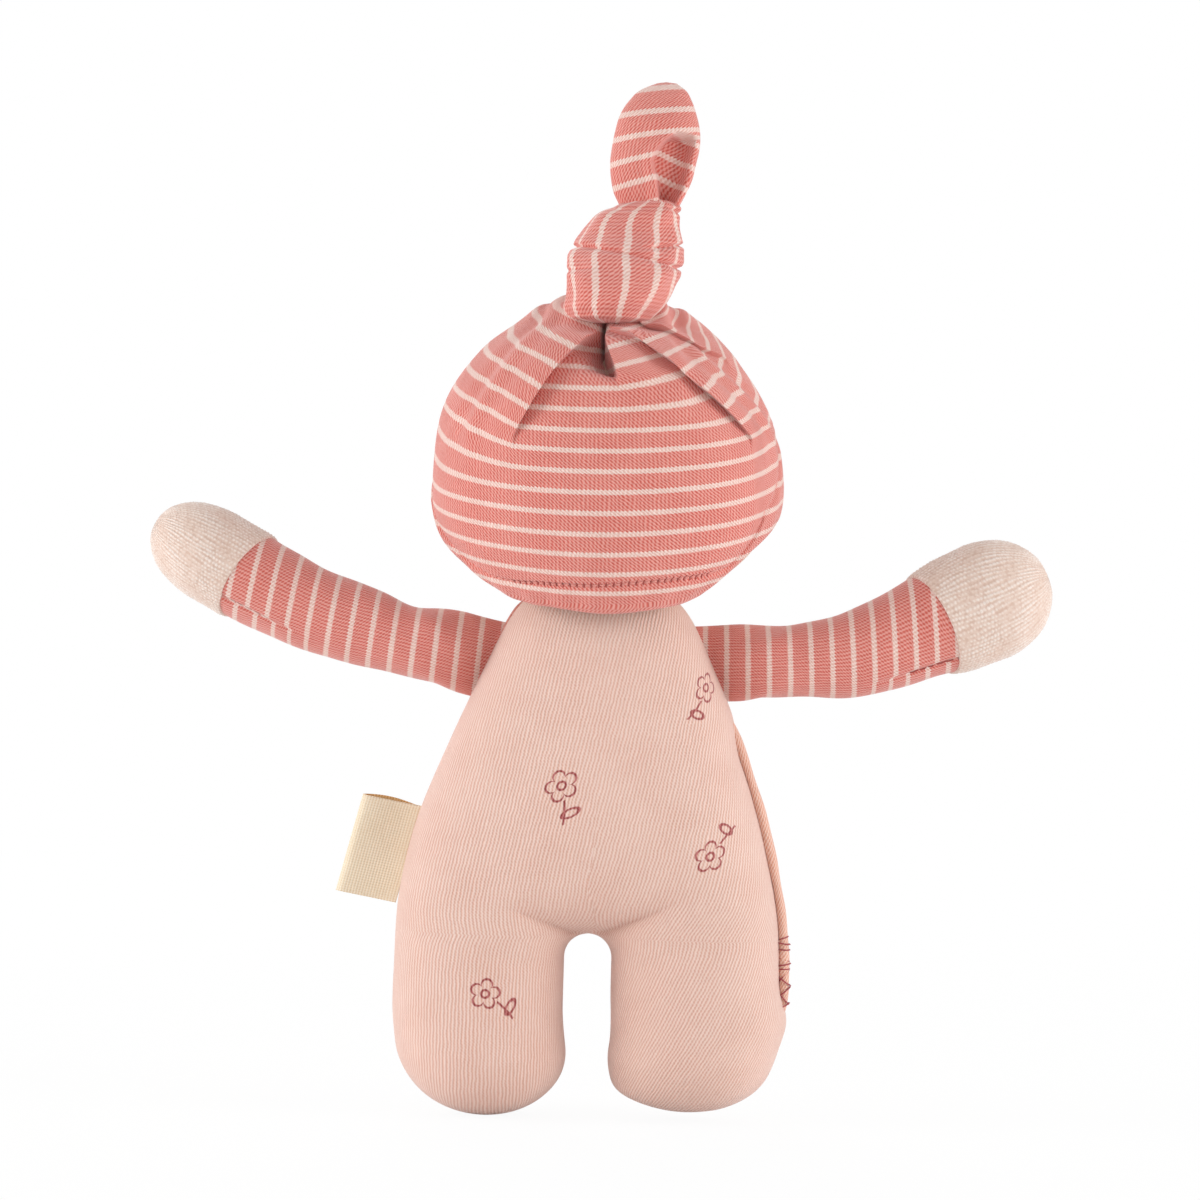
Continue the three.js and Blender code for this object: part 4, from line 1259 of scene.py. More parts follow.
def hem_climb(hat, head, turn):
    """Climb of the hem: lowest at the nape, at its named height at the sides and high at the forehead."""
    toward = np.cos(turn)
    back = hat.hem_side - hat.hem_swing * toward * (1 - 0.375 * toward)
    front = hat.hem_side - hat.hem_swing * toward * (1 + 0.15 * toward)
    height = np.where(toward > 0, back, front) - mm(0.7) * np.sin(turn)
    reach = np.where(height < head.middle, hat_below(hat, turn), hat.above)
    return np.arcsin(np.clip((height - head.middle) / reach, -0.97, 0.97))


def hat_below(hat, turn):
    """The hat's reach below the head's middle, deeper at the nape."""
    return hat.below + hat.nape_drop * np.maximum(np.cos(turn), 0) ** 2


def hat_columns():
    """Column angles of the hat in degrees, close together about each fold."""
    coarse = np.arange(-180, 180, 1.7)
    kept = np.array([fold.column for fold in HAT_FOLDS])
    fine = (kept[:, None] + np.linspace(-5, 5, 27)).ravel()
    clear = np.all(np.abs(coarse[:, None] - kept) > 5.3, axis=1)
    return np.unique(np.concatenate([coarse[clear], fine]))


def fold_turn(fold, climb):
    """Direction of a fold at each climb in degrees: a straight run between its ends, held past them."""
    share = np.clip((climb - fold.start) / (fold.end - fold.start), 0, 1)
    return fold.low + (fold.high - fold.low) * share


def fold_offsets(fold, side, climb):
    """Rise and shift of cloth at a distance from a fold in millimetres, which is above 0 on top of the fold.

    The rise steps from the recess to the fold's height and then eases off on both sides. The shift is the
    slope of a bell curve, so that the cloth runs under the fold and back over its edge.
    """
    grow = ease(fold.start - 5, fold.start + 9, climb) * ease(74, 62, climb)
    step = ease(-0.7, 0.7, side)
    over = mm(fold.height) * step * np.exp(-np.maximum(side, 0) / 8.0)
    under = -mm(fold.recess) * (1 - step) * np.exp(np.minimum(side, 0) / 5.0)
    past = side / FOLD_EDGE
    shift = -mm(fold.overhang) * past * np.exp(0.5 - 0.5 * past**2)
    return (over + under) * grow, shift * grow


def fold_distance(fold, goal, turn, radius):
    """Distance of each point from a fold along its ring, above 0 on the side that lies on top."""
    return fold.way * (np.degrees(turn) - goal) * np.pi / 180 * radius


def above_fold(fold, degrees):
    """Share that rises from 0 below a fold's lower end to 1 above it."""
    return ease(fold.start - 16, fold.start + 10, degrees)


def hat_turn(column, goals):
    """Direction of each point of the hat in degrees.

    A fold's own column goes where the fold goes, and the columns between two folds share the room evenly.
    """
    ends = np.full_like(goals[:1], 180.0)
    goals = np.concatenate([-ends, goals, ends])
    bounds = [-180.0, *(fold.column for fold in HAT_FOLDS), 180.0]
    turn = np.empty_like(goals[0])
    for number, (low, high) in enumerate(zip(bounds[:-1], bounds[1:])):
        inside = (column >= low) & (column <= high)
        share = (column - low) / (high - low)
        turn[:, inside] = (goals[number] + (goals[number + 1] - goals[number]) * share)[:, inside]
    return turn


def fold_rise(goals, turn, degrees, radius):
    """Rise and sideways shift of the hat's cloth at all of its folds, which are flatter where they crowd.

    On top of a fold whose stripes are steep the cloth also waves softly.
    """
    rise, shift = np.zeros_like(turn), np.zeros_like(turn)
    for number, (fold, goal) in enumerate(zip(HAT_FOLDS, goals)):
        others = np.delete(goals, number, axis=0)
        room = np.min(np.abs(others - goal), axis=0) * np.pi / 180 * radius
        side = fold_distance(fold, goal, turn, radius) / mm(1)
        over, slip = fold_offsets(fold, side, degrees)
        near = ease(35, 20, np.abs(np.degrees(turn) - goal))
        rise += over * near * np.clip(0.25 + room / mm(6), 0, 1)
        shift += slip * near * fold.way * np.clip(room / mm(7), 0, 1)
        if fold.slope > STEEP_STRIPES:
            pleat = np.cos(2 * np.pi * (side - SOFT_PLEAT) / 9) * hill(side - SOFT_PLEAT, 7)
            rise += PLEAT_HEIGHT * above_fold(fold, degrees) * pleat
    return rise, shift


def stripe_slant(goals, turn, degrees, radius, shift, above_flap):
    """How far the stripes run down towards the folds that lie on top of them.

    Each fold draws them down by its slope, which eases off away from it. On the right flap they also lie
    closer together, by a share of the height above the flap's lower end.
    """
    slant = np.zeros_like(turn)
    for number, (fold, goal) in enumerate(zip(HAT_FOLDS, goals)):
        side = fold_distance(fold, goal, turn, radius)
        on_top = np.where(side > 0, side + fold.way * shift, 0)
        slant += fold.slope * above_fold(fold, degrees) * SLANT_REACH * (1 - np.exp(-on_top / SLANT_REACH))
        if number == RIGHT_FLAP:
            slant -= FLAP_CLOSER * above_flap * (side > 0) * ease(mm(30), mm(12), on_top)
    return slant * ease(*SLANT_END, np.abs(np.degrees(turn)))


def hat_grid(hat, head):
    """The hat's outer surface from hem to crown, its normals and directions, and its height in stripes.

    It is an egg with a folded hem, a stitch line, gathered folds and a pocket beside the middle one. The
    height in stripes is the cloth's own, tilted towards the nape, stretched above the head's middle so that
    the stripes lie closer there, and drawn down to the folds.
    """
    column = hat_columns()
    straight = np.radians(column)
    fold_width = hat.hem_fold - HEM_SKEW * np.sin(straight)
    arcs = fold_width * HEM_ROWS[:, None]
    rest = np.linspace(0, 1, 132)[1:]
    start = hem_climb(hat, head, straight)
    bend = np.hypot(hat.half_depth * np.sin(start), hat_below(hat, straight) * np.cos(start))
    first = start + arcs / bend
    climb = np.concatenate([first, first[-1:] + (np.pi / 2 - first[-1:]) * rest[:, None]])
    degrees = np.degrees(climb)
    goals = np.stack([fold_turn(fold, degrees) for fold in HAT_FOLDS])
    turn = np.radians(hat_turn(column, goals))
    level = np.sin(climb)
    fuller = 1 + 0.032 * hill(level - 0.45, 0.25) + 0.03 * hill(level - 0.95, 0.04)
    fuller = fuller - (0.045 + 0.03 * np.sin(turn)) * hill(level - 0.85, 0.08)
    points = egg(hat.half_width * fuller, hat.half_depth * fuller, hat_below(hat, turn), hat.above,
                 head.middle, head.forward, turn, climb)
    points[..., 0] += mm(0.9) * hill(level - 0.6, 0.35)
    points[..., 0] += mm(1.9) * ease(-0.35, -0.95, np.sin(turn)) * hill(points[..., 2] - mm(112), mm(8))
    normals = grid_normals(points, True)
    sideways = np.stack([np.cos(turn), -np.sin(turn), np.zeros_like(turn)], axis=-1)
    radius = hat.half_width * np.cos(climb)
    beside = (np.degrees(turn) - goals[MIDDLE_FOLD]) / (goals[MIDDLE_FOLD + 1] - goals[MIDDLE_FOLD])
    pocket = ease(0, 0.1, beside) * ease(1, 0.1, beside)
    pocket = pocket * ease(31, 45, degrees - 4 * beside) * ease(70, 62, degrees)
    rise, shift = fold_rise(goals, turn, degrees, radius)
    rise = rise - mm(3) * hill(np.linalg.norm(points - GATHER, axis=2), mm(9)) - POCKET_DEPTH * pocket
    arc = np.concatenate([arcs, np.ones((len(rest), column.size))])
    groove = -mm(0.55) * hill(arc - fold_width, mm(0.42))
    roll = mm(0.5) * ease(0, mm(0.8), arc) * ease(fold_width, fold_width - mm(1.2), arc)
    ripple = mm(0.22) * hill(arc - fold_width * 0.5, mm(2.4)) * np.sin(turn * 23)
    slack = mm(0.5) * np.sin(3 * turn + 1.0) * np.sin(2.2 * climb) + mm(0.25) * np.sin(7 * turn - 2 * climb)
    laid = points + sideways * shift[..., None]
    moved = laid + normals * (rise + groove + roll + ripple + slack)[..., None]
    moved[-1] = moved[-1].mean(axis=0)
    closer = np.logaddexp(0, (points[..., 2] - head.middle) / mm(3)) * mm(3)
    back = laid[..., 1] * np.cos(np.minimum(climb, STRIPE_TURN)) / np.maximum(np.cos(climb), 1e-3)
    flap_end = head.middle + hat.above * math.sin(math.radians(HAT_FOLDS[RIGHT_FLAP].start))
    above_flap = np.maximum(points[..., 2] - flap_end, 0)
    stripe = moved[..., 2] + back * math.tan(hat.stripe_tilt) + laid[..., 0] * STRIPE_ROLL
    stripe = stripe + STRIPE_CLOSER * closer - stripe_slant(goals, turn, degrees, radius, shift, above_flap)
    return moved, normals, turn, stripe


def hat_patches(hat, head):
    """Hat with its turned-in hem: the outer surface, and an inner band that goes back up inside."""
    points, normals, turn, stripe = hat_grid(hat, head)
    band = HEM_BAND_ROWS
    depth = hat.thickness * np.linspace(0.35, 1.15, band)
    inner = points[:band] - normals[:band] * depth[:, None, None]
    points = np.concatenate([inner[::-1], points])
    stripe = np.concatenate([stripe[:band][::-1], stripe])
    run = run_length(close_columns(points))
    nape = int(np.argmin(np.abs(turn[0])))
    height = close_columns(stripe) - HAT_STRIPE_START
    height = PLAIN_EDGE + np.abs(height - PLAIN_EDGE)
    texture = np.stack([run - run[:, nape:nape + 1], height], axis=-1) / mm(1)
    return [{"points": points, "texture": texture, "around": True, "heart": np.array([0, 0, head.middle])}]


def hem_stitches_and_hole_shade(hat, head):
    """Stitches in the groove of the hem: raised threads along it, and between them short dark threads across,
    which are painted shade for the holes between the stitches.
    """
    points, normals, turn, _ = hat_grid(hat, head)
    row = HEM_GROOVE_ROW
    place = turn[row] * hat.half_width

    def spot(rows, at):
        return np.stack([np.interp(at, place, rows[:, axis]) for axis in range(3)], axis=-1)

    patches = []
    for start in np.arange(place[0], place[-1] - HEM_PITCH, HEM_PITCH):
        at = start + np.linspace(0.16, 0.84, 6) * HEM_PITCH
        bow = mm(0.34) * np.sin(np.linspace(0, np.pi, 6)) - mm(0.08)
        patches.append(tube_patch(spot(points[row], at) + spot(normals[row], at) * bow[:, None], mm(0.27), 6))
        if not HOLE_SHADE_TICKS[0] < start / hat.half_width < HOLE_SHADE_TICKS[1]:
            continue
        # A short dark thread across the groove: painted shade for the hole between two stitches.
        low, middle, high = (spot(points[row + step], start) + spot(normals[row + step], start) * mm(lift)
                             for step, lift in ((-1, 0.02), (0, 0.08), (2, 0.02)))
        patches.append({**tube_patch(np.stack([low, middle, high]), mm(0.16), 5), "finish": 1})
    return patches


class DOLL_OT_hat(bpy.types.Operator):
    """Make the striped hat with its stitched hem"""

    bl_idname = "doll.hat"
    bl_label = "Hat"

    def execute(self, context):
        hat, head, finish = context.scene.doll_hat, context.scene.doll_head, context.scene.doll_finish
        knit = (finish.hat_wale, finish.hat_course)
        stripes = jersey_finish("striped_jersey_hat", finish.coral, finish, knit, striped=True, depth=1.0,
                                rib=0.4)
        FINISHES["hat"] = stripes
        piece = build_piece("hat", hat_patches(hat, head), [stripes], weld=mm(0.002))
        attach(piece, "head")
        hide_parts("hat_crown")
        # The second thread finish is painted shade: dark ticks for the holes between the hem's stitches.
        threads = [thread_finish("hem_thread", finish.coral),
                   thread_finish("coral_thread_and_hole_shade", finish.coral_thread_and_hole_shade)]
        stitches = build_piece("hem_stitches_and_hole_shade", hem_stitches_and_hole_shade(hat, head), threads, weld=THREAD_WELD)
        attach(stitches, "head")
        return {"FINISHED"}


# Knot and tail: heights and the left and right edge seen from behind, in millimetres

KNOT_LEVELS = mm([167.6, 168.3, 169.6, 173.5, 178, 182, 185.5, 189, 192.3, 193.6, 194.4])
KNOT_LEFT = mm([4.0, 7.6, 9.0, 9.5, 9.6, 9.2, 7.6, 5.9, 2.2, -0.9, -3.5])
KNOT_RIGHT = mm([-4.5, -7.6, -9.2, -12.2, -14.0, -14.4, -14.9, -14.3, -14.3, -14.1, -12.6])
KNOT_DEPTH = 0.88
KNOT_BACK = mm(10.5)
KNOT_STRIPES = 11
# Middle heights of the knot's grooves: all round, on its right and left side and at its top
KNOT_CREASE = mm(182.2)
KNOT_RIGHT_CREASE = mm(184.4)
KNOT_LEFT_CREASE = mm(179.2)
KNOT_TOP_CREASE = mm(192.6)
TAIL_LEVELS = mm([192.5, 194, 196, 199, 203, 206, 209.5, 213, 216, 218.4, 219.7])
TAIL_LEFT = mm([-1.6, -0.9, 0.1, 0.8, 1.1, 0.8, 0.2, -0.8, -2.7, -5.3, -8.4])
TAIL_RIGHT = mm([-13.4, -14, -15, -16.3, -17.2, -17.8, -17.8, -17.0, -15.9, -14.4, -12.6])
TAIL_TOP = np.array(mm([-10.4, 0, 220.0]))
TAIL_DEPTH = mm(5.6)
TAIL_ROOT = mm(3.6)
TAIL_HOLLOW_TOP = mm([209.4, 207.2])
TAIL_HOLLOW_DEPTH = mm(5.2)
TAIL_LIP = mm(0.9)
TAIL_STRIPE_START = mm(2.6)
TAIL_FOLD_LEVELS = mm([190, 194.2, 199.4, 203.9, 205.8, 207.6, 208.7])
TAIL_FOLD_SIDE = mm([-9.8, -9.5, -8.7, -8.0, -9.2, -10.8, -12.3])


def knot_patch():
    """Knot: ovals between its left and right edge, closed above, with a slanting crease all round.

    The crease's height swings with the cosine of the direction. It is a narrow bell-shaped groove with a
    fuller lip on both sides. Shorter grooves lie above it on the right and below it on the left, and one more
    goes round the top.
    """
    rows, columns = 120, 150
    height = np.concatenate([np.linspace(KNOT_LEVELS[0], KNOT_LEVELS[-1], rows), np.full(8, KNOT_LEVELS[-1])])
    shrink = np.concatenate([np.ones(rows), np.cos(np.linspace(0.2, np.pi / 2, 8))])
    lift = np.concatenate([np.zeros(rows), mm(0.6) * np.sin(np.linspace(0.2, np.pi / 2, 8))])
    left, right = through(height, KNOT_LEVELS, KNOT_LEFT), through(height, KNOT_LEVELS, KNOT_RIGHT)
    middle, half = (left + right) / 2, (left - right) / 2 * shrink
    turn = np.linspace(0, 2 * np.pi, columns, endpoint=False)
    round_x, round_y = np.cos(turn), np.sin(turn)
    z = height[:, None] + lift[:, None] + np.zeros(columns)
    crease = KNOT_CREASE + mm(2.1) * round_x[None]
    second = KNOT_RIGHT_CREASE + mm(0.9) * np.cos(2 * turn[None])
    third = KNOT_LEFT_CREASE - mm(0.5) * round_x[None]
    top = KNOT_TOP_CREASE + mm(0.5) * np.cos(3 * turn[None])
    on_right = ease(-0.15, -0.55, round_x)[None]
    on_left = ease(0.35, 0.75, round_x)[None]
    off, off_second = z - crease, z - second
    groove = mm(1.1) * hill(off, mm(0.4)) + mm(1.1) * on_right * hill(off_second, mm(0.4))
    groove = groove + mm(0.4) * on_left * hill(z - third, mm(0.5)) + mm(0.6) * hill(z - top, mm(0.45))
    lips = mm(0.35) * (hill(off - mm(1.6), mm(1.3)) + hill(off + mm(1.8), mm(1.5)))
    waves = mm(0.25) * np.sin(4 * turn[None] + z / mm(2.2)) + mm(0.2) * np.sin(9 * turn[None] - z / mm(3.1))
    swell = (lips - groove + waves) * shrink[:, None]
    x = middle[:, None] + (half[:, None] + swell) * round_x
    low = ease(mm(190), mm(171), z)
    y = KNOT_BACK * low + (half[:, None] * (KNOT_DEPTH + 0.2 * low) + swell) * round_y
    points = np.stack([x, y, z], axis=-1)
    points[-1] = points[-1].mean(axis=0)
    slant = (z - KNOT_LEVELS[3]) * 0.12
    count = np.linspace(0, KNOT_STRIPES, columns + 1)[None] + close_columns(slant / mm(5))
    texture = np.stack([close_columns(z) / mm(1), count], axis=-1)
    return points, texture


def tail_fold(x, z):
    """Distance past the tail's inner fold, positive in the hollow to its right."""
    return through(z, TAIL_FOLD_LEVELS, TAIL_FOLD_SIDE) - x


def tail_patches():
    """Tail: a stuffed leaf between its left and right edge, whose back is folded over a hollow.

    The half depth is the root of the product of the distances to the two edges, which is a circle, flattened.
    On the back, the cloth drops behind the inner fold and rises again to the right edge; the stripes lean one
    way on the flap and the other way in the hollow. Inside the knot the leaf closes along an ellipse.
    """
    rows, columns = 130, 84
    below_knot = TAIL_LEVELS[0] - TAIL_ROOT * np.cos(np.linspace(0, np.pi / 2, 14))[:-1]
    height = np.concatenate([below_knot, np.linspace(TAIL_LEVELS[0], TAIL_LEVELS[-1], rows), [TAIL_TOP[2]]])
    left, right = through(height, TAIL_LEVELS, TAIL_LEFT), through(height, TAIL_LEVELS, TAIL_RIGHT)
    left[-1] = right[-1] = TAIL_TOP[0]
    closing = np.sqrt(1 - np.clip((TAIL_LEVELS[0] - height) / TAIL_ROOT, 0, 1) ** 2)
    left, right = ((left + right + way * closing * (left - right)) / 2 for way in (1, -1))
    across = (1 + np.cos(np.linspace(0, np.pi, columns))) / 2
    x = right[:, None] + (left - right)[:, None] * across
    z = height[:, None] + np.zeros(columns)
    half = np.maximum((left - right)[:, None] / 2, 1e-6)
    swell = np.sqrt(np.maximum((left[:, None] - x) * (x - right[:, None]), 0)) / half
    top = np.sqrt(np.clip((TAIL_TOP[2] - z) / mm(9), 0, 1))
    root = 0.62 + 0.38 * ease(mm(194), mm(203), z)
    depth = TAIL_DEPTH * swell * np.minimum(top, 1) * root * closing[:, None]
    past = tail_fold(x, z)
    below = ease(*TAIL_HOLLOW_TOP, z)
    hollow = ease(mm(-0.35), mm(0.5), past) * below
    rim = ease(mm(0.4), mm(3.6), x - right[:, None])
    lip = hill(past + mm(0.9), mm(1.1)) * below
    drop = (TAIL_HOLLOW_DEPTH * hollow * rim - TAIL_LIP * lip) * closing[:, None]
    back = np.stack([x, depth - drop * np.minimum(swell * 1.6, 1), z], axis=-1)
    front = np.stack([x, -depth, z], axis=-1)
    flap_stripe = 0.9 * (z + x * (0.12 + 0.17 * ease(mm(215), mm(198), z)))
    hollow_stripe = 0.9 * (z - x * 0.42) - mm(5.9)
    stripe = flap_stripe * (1 - hollow) + hollow_stripe * hollow
    heart = np.array([mm(-8.5), 0, mm(206)])
    patches = []
    for points, lines in ((back, stripe), (front, flap_stripe)):
        texture = np.stack([run_length(points), lines - TAIL_STRIPE_START], axis=-1) / mm(1)
        patches.append({"points": points, "texture": texture, "heart": heart})
    return patches


class DOLL_OT_knot(bpy.types.Operator):
    """Make the knot of the hat and the tail that comes out of it"""

    bl_idname = "doll.knot"
    bl_label = "Knot and Tail"

    def execute(self, context):
        finish = context.scene.doll_finish
        points, texture = knot_patch()
        texture[..., 1] *= finish.stripe_period
        patch = {"points": points, "texture": texture, "around": True}
        knot = build_piece("knot", [patch], [FINISHES["hat"]], weld=mm(0.005))
        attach(knot, "head")
        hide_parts("hat_knot")
        tail = build_piece("tail", tail_patches(), [FINISHES["hat"]], weld=mm(0.01))
        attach(tail, "tail")
        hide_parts("hat_tail")
        return {"FINISHED"}


# Label, seam lip and closing stitches

LABEL_WIDTH = mm(21.2)
LABEL_REACH = mm(11.5)
LABEL_ROOT = mm(0.55)
LABEL_LOOP = mm(1.5)
RIBBON_THICKNESS = mm(0.45)
LABEL_TUCK = mm(1.5)
LABEL_SHIFT = mm(-3.1)
LABEL_DROOP = 0.07
LABEL_SLANT = mm(0.6)


def label_outline(count, inset):
    """Half of the folded ribbon seen along the seam: from its root it widens to the round fold at its end."""
    reach, loop = LABEL_REACH - inset, LABEL_LOOP - inset
    out = np.linspace(-LABEL_TUCK, reach - loop, count)
    half = LABEL_ROOT - inset + (loop - LABEL_ROOT + inset) * ease(0, reach - loop, out) ** 1.3
    turn = np.linspace(0, np.pi / 2, 12)[1:]
    out = np.concatenate([out, reach - loop + loop * np.sin(turn)])
    half = np.concatenate([half, loop * np.cos(turn)])
    return np.concatenate([out, out[-2::-1]]), np.concatenate([half, -half[-2::-1]])


def label_patches(pivot, axis):
    """Ribbon folded into a loop: the outline carried along the seam, outside and inside, joined at the edges.

    The free fold waves a little from one edge to the other. The inside and the cut edges take the second
    finish, a darker tan that is painted shade for the inside of the loop.
    """
    pivot = pivot + axis * LABEL_SHIFT
    outward = np.array([axis[2], 0, -axis[0]]) - axis * LABEL_DROOP
    place = np.linspace(-0.5, 0.5, 60)
    sheets = []
    for inset in (0.0, float(RIBBON_THICKNESS)):
        out, half = label_outline(36, inset)
        wave = mm(0.5) * np.sin(place * 4.5 + 0.6)[:, None] * ease(0, LABEL_REACH, out)[None]
        points = (pivot + outward * out[None, :, None] + axis * (place * LABEL_WIDTH)[:, None, None])
        points[..., 1] += half[None] + wave
        far = ease(mm(0.3), mm(-0.3), half) * np.sin(np.pi * np.clip(out / LABEL_REACH, 0, 1))
        points += axis * (LABEL_SLANT * far)[None, :, None]
        run = np.concatenate([[0], np.cumsum(np.hypot(np.diff(out), np.diff(half)))])
        texture = np.stack(np.broadcast_arrays(run[None], (place * LABEL_WIDTH)[:, None]), axis=-1) / mm(1)
        sheets.append((points, texture))
    (outside, texture), (inside, inside_texture) = sheets
    heart = pivot + outward * LABEL_REACH * 0.55
    patches = [{"points": outside, "texture": texture, "heart": heart}]
    patches.append({"points": inside, "texture": inside_texture, "finish": 1, "heart": heart, "inside": True})
    for row in (0, -1):
        edge = np.stack([outside[row], inside[row]])
        edge_texture = np.stack([texture[row], inside_texture[row]])
        patches.append({"points": edge, "texture": edge_texture, "finish": 1,
                        "heart": heart - axis * 10 * (1 if row else -1)})
    return patches


class DOLL_OT_label(bpy.types.Operator):
    """Make the bare folded ribbon in the left side seam"""

    bl_idname = "doll.label"
    bl_label = "Label"

    def execute(self, context):
        finish = context.scene.doll_finish
        pivot, axis = joint_place("label_flap")
        # The second finish is the ribbon's colour painted darker tan, as shade inside the loop.
        ribbons = [ribbon_finish("woven_ribbon", finish.ribbon),
                   ribbon_finish("woven_ribbon_inside", finish.ribbon_inside_shade)]
        label = build_piece("label", label_patches(pivot, axis), ribbons, weld=mm(0.01))
        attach(label, "label")
        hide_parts("woven_label")
        return {"FINISHED"}


LIP_LEVELS = mm([23, 86])
LIP_RADIUS = mm(1.35)
LIP_INSET = mm(1.15)
LIP_BACK = mm(2.3)
CLOSING_LEVELS = mm([32.9, 33.8, 34.9, 36.2, 37.0, 38.3, 39.4])
# Heights and slopes of the looser stitches below the closed stretch
LOOSE_STITCHES = [(mm(31.4), 1.6), (mm(30.4), -1.3), (mm(28.0), 1.4), (mm(26.6), -1.5), (mm(25.0), 0.9)]
SHOULDER_LEVELS = mm([101.6, 109.5])
SHOULDER_RADIUS = mm(0.55)


def side_path(suit, height, back):
    """Points on the right side seam at each height, moved towards the doll's back."""
    _, outer = suit_outline(suit, height)
    return np.stack([-(outer - right_waist(height) - LIP_INSET), np.full_like(height, back), height], axis=-1)


def roll_patch(path, levels, radius, ends):
    """Turned seam: a flattened roll along a path that climbs between two levels and tapers at both ends."""
    height = path[:, 2]
    along = unit(np.gradient(path, axis=0))
    outward = unit(np.cross(along, np.array([0, 1.0, 0])))
    outward = outward * np.sign(outward[:, :1] * path[:, :1])
    taper = np.sqrt(np.clip(np.minimum(height - levels[0], levels[1] - height) / ends, 0, 1))
    turn = np.linspace(0, 2 * np.pi, 22, endpoint=False)
    wide = radius * taper * (1 + 0.1 * np.sin(height / mm(4.3)) + 0.06 * np.sin(height / mm(1.7)))
    points = path[:, None] + outward[:, None] * (0.85 * wide[:, None] * np.cos(turn))[..., None]
    points[..., 1] += 1.2 * wide[:, None] * np.sin(turn)
    around = np.linspace(0, 1, 23)[None] * 8.0
    rise = height[:, None] / mm(1)
    texture = np.stack(np.broadcast_arrays(around + 0.8 * rise, rise), axis=-1)
    return {"points": points, "texture": texture, "around": True, "heart": points.mean(axis=(0, 1))}


def lip_patch(suit):
    """Turned seam down the right side."""
    return roll_patch(side_path(suit, np.linspace(*LIP_LEVELS, 110), LIP_BACK), LIP_LEVELS, LIP_RADIUS, mm(5))


def shoulder_patch(suit):
    """Short turned seam at the left shoulder, under the hat's hem."""
    height = np.linspace(*SHOULDER_LEVELS, 40)
    _, outer = suit_outline(suit, height)
    path = np.stack([outer - mm(0.1), np.full_like(height, mm(1.0)), height], axis=-1)
    return roll_patch(path, SHOULDER_LEVELS, SHOULDER_RADIUS, mm(2))


def closing_stitches(suit):
    """Hand stitches that close the side seam: loops round the lip, and looser ones below.

    A loop's height follows the cosine of its sweep round the lip by its own slope, and its reach varies.
    """
    loops = [(level, 0.5 * math.sin(2.4 * number)) for number, level in enumerate(CLOSING_LEVELS)]
    loops += LOOSE_STITCHES
    patches = []
    for number, (level, slope) in enumerate(loops):
        reach = 1 + 0.16 * math.sin(1.7 * number)
        sweep = np.linspace(-0.5, 0.8 + 0.1 * math.sin(3.1 * number), 11) * math.pi
        path = side_path(suit, level + mm(0.8) * slope * np.cos(sweep), LIP_BACK)
        path[:, 0] -= LIP_RADIUS * 0.98 * reach * np.cos(sweep)
        path[:, 1] += LIP_RADIUS * 1.34 * reach * np.sin(sweep)
        patches.append(tube_patch(path, mm(0.15), 5))
    return patches


class DOLL_OT_seam(bpy.types.Operator):
    """Make the turned seams of the right side and left shoulder and the stitches that close the right one"""

    bl_idname = "doll.seam"
    bl_label = "Side Seam"

    def execute(self, context):
        suit, finish = context.scene.doll_suit, context.scene.doll_finish
        # The lip's jersey has its colour painted darker and warmer, as shade in the turned seam.
        cloth = jersey_finish("pale_jersey_lip_painted_shade", finish.seam_lip, finish)
        # The shoulder seam's jersey is painted salmon, as shade in the turned seam.
        shaded_shoulder_jersey = jersey_finish("pale_jersey_shoulder_painted_shade", finish.shoulder_seam, finish)
        shoulder = build_piece("shoulder_seam", [shoulder_patch(suit)], [shaded_shoulder_jersey], weld=THREAD_WELD)
        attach(shoulder, "torso")
        thread = thread_finish("red_thread", finish.red_thread)
        trims = {"seam_lip": ([lip_patch(suit)], cloth), "closing_stitches": (closing_stitches(suit), thread)}
        for name, (patches, cover) in trims.items():
            piece = build_piece(name, patches, [cover], weld=THREAD_WELD)
            bend_at_hip(piece)
        return {"FINISHED"}


class DOLL_OT_rattle(bpy.types.Operator):
    """Give the rattle capsule and its beads their plastic"""

    bl_idname = "doll.rattle"
    bl_label = "Rattle"

    def execute(self, context):
        finish = context.scene.doll_finish
        shell = plastic_finish("rattle_plastic", finish.rattle, 0.45)
        bead = plastic_finish("bead_plastic", finish.bead, 0.35)
        finishes = {name: shell for name in ("rattle_upper_shell", "rattle_lower_shell")}
        finishes.update({f"rattle_bead_{name}": bead for name in ("front", "middle", "back")})
        for name, material in finishes.items():
            slots = frame["nodes"][name].data.materials
            slots.clear()
            slots.append(material)
        return {"FINISHED"}


# Stage


FLOOR_REACH = 6.0
# Distances from the doll between which the floor goes over to plain white
FLOOR_FADE = (0.25, 0.9)


# Each lamp's place, the setting that gives its power, the share of it and the size of the lamp
LAMPS = {
    "left_lamp": ((1.15, 0.35, 0.32), "key_power", 1.0, 0.8),
    "right_lamp": ((-1.15, 0.35, 0.32), "fill_power", 1.0, 0.8),
    "front_lamp": ((0.3, -1.2, 0.8), "key_power", 0.7, 1.0),
    "low_lamp": ((0.0, 1.5, 0.06), "low_power", 1.0, 0.5),
}


def seen_share(nodes):
    """1 for rays from the camera, a reflection or glass, and 0 for light."""
    path = nodes.add("ShaderNodeLightPath").outputs
    seen = nodes.math("MAXIMUM", path["Is Camera Ray"], path["Is Glossy Ray"])
    return nodes.math("MAXIMUM", seen, path["Is Transmission Ray"])


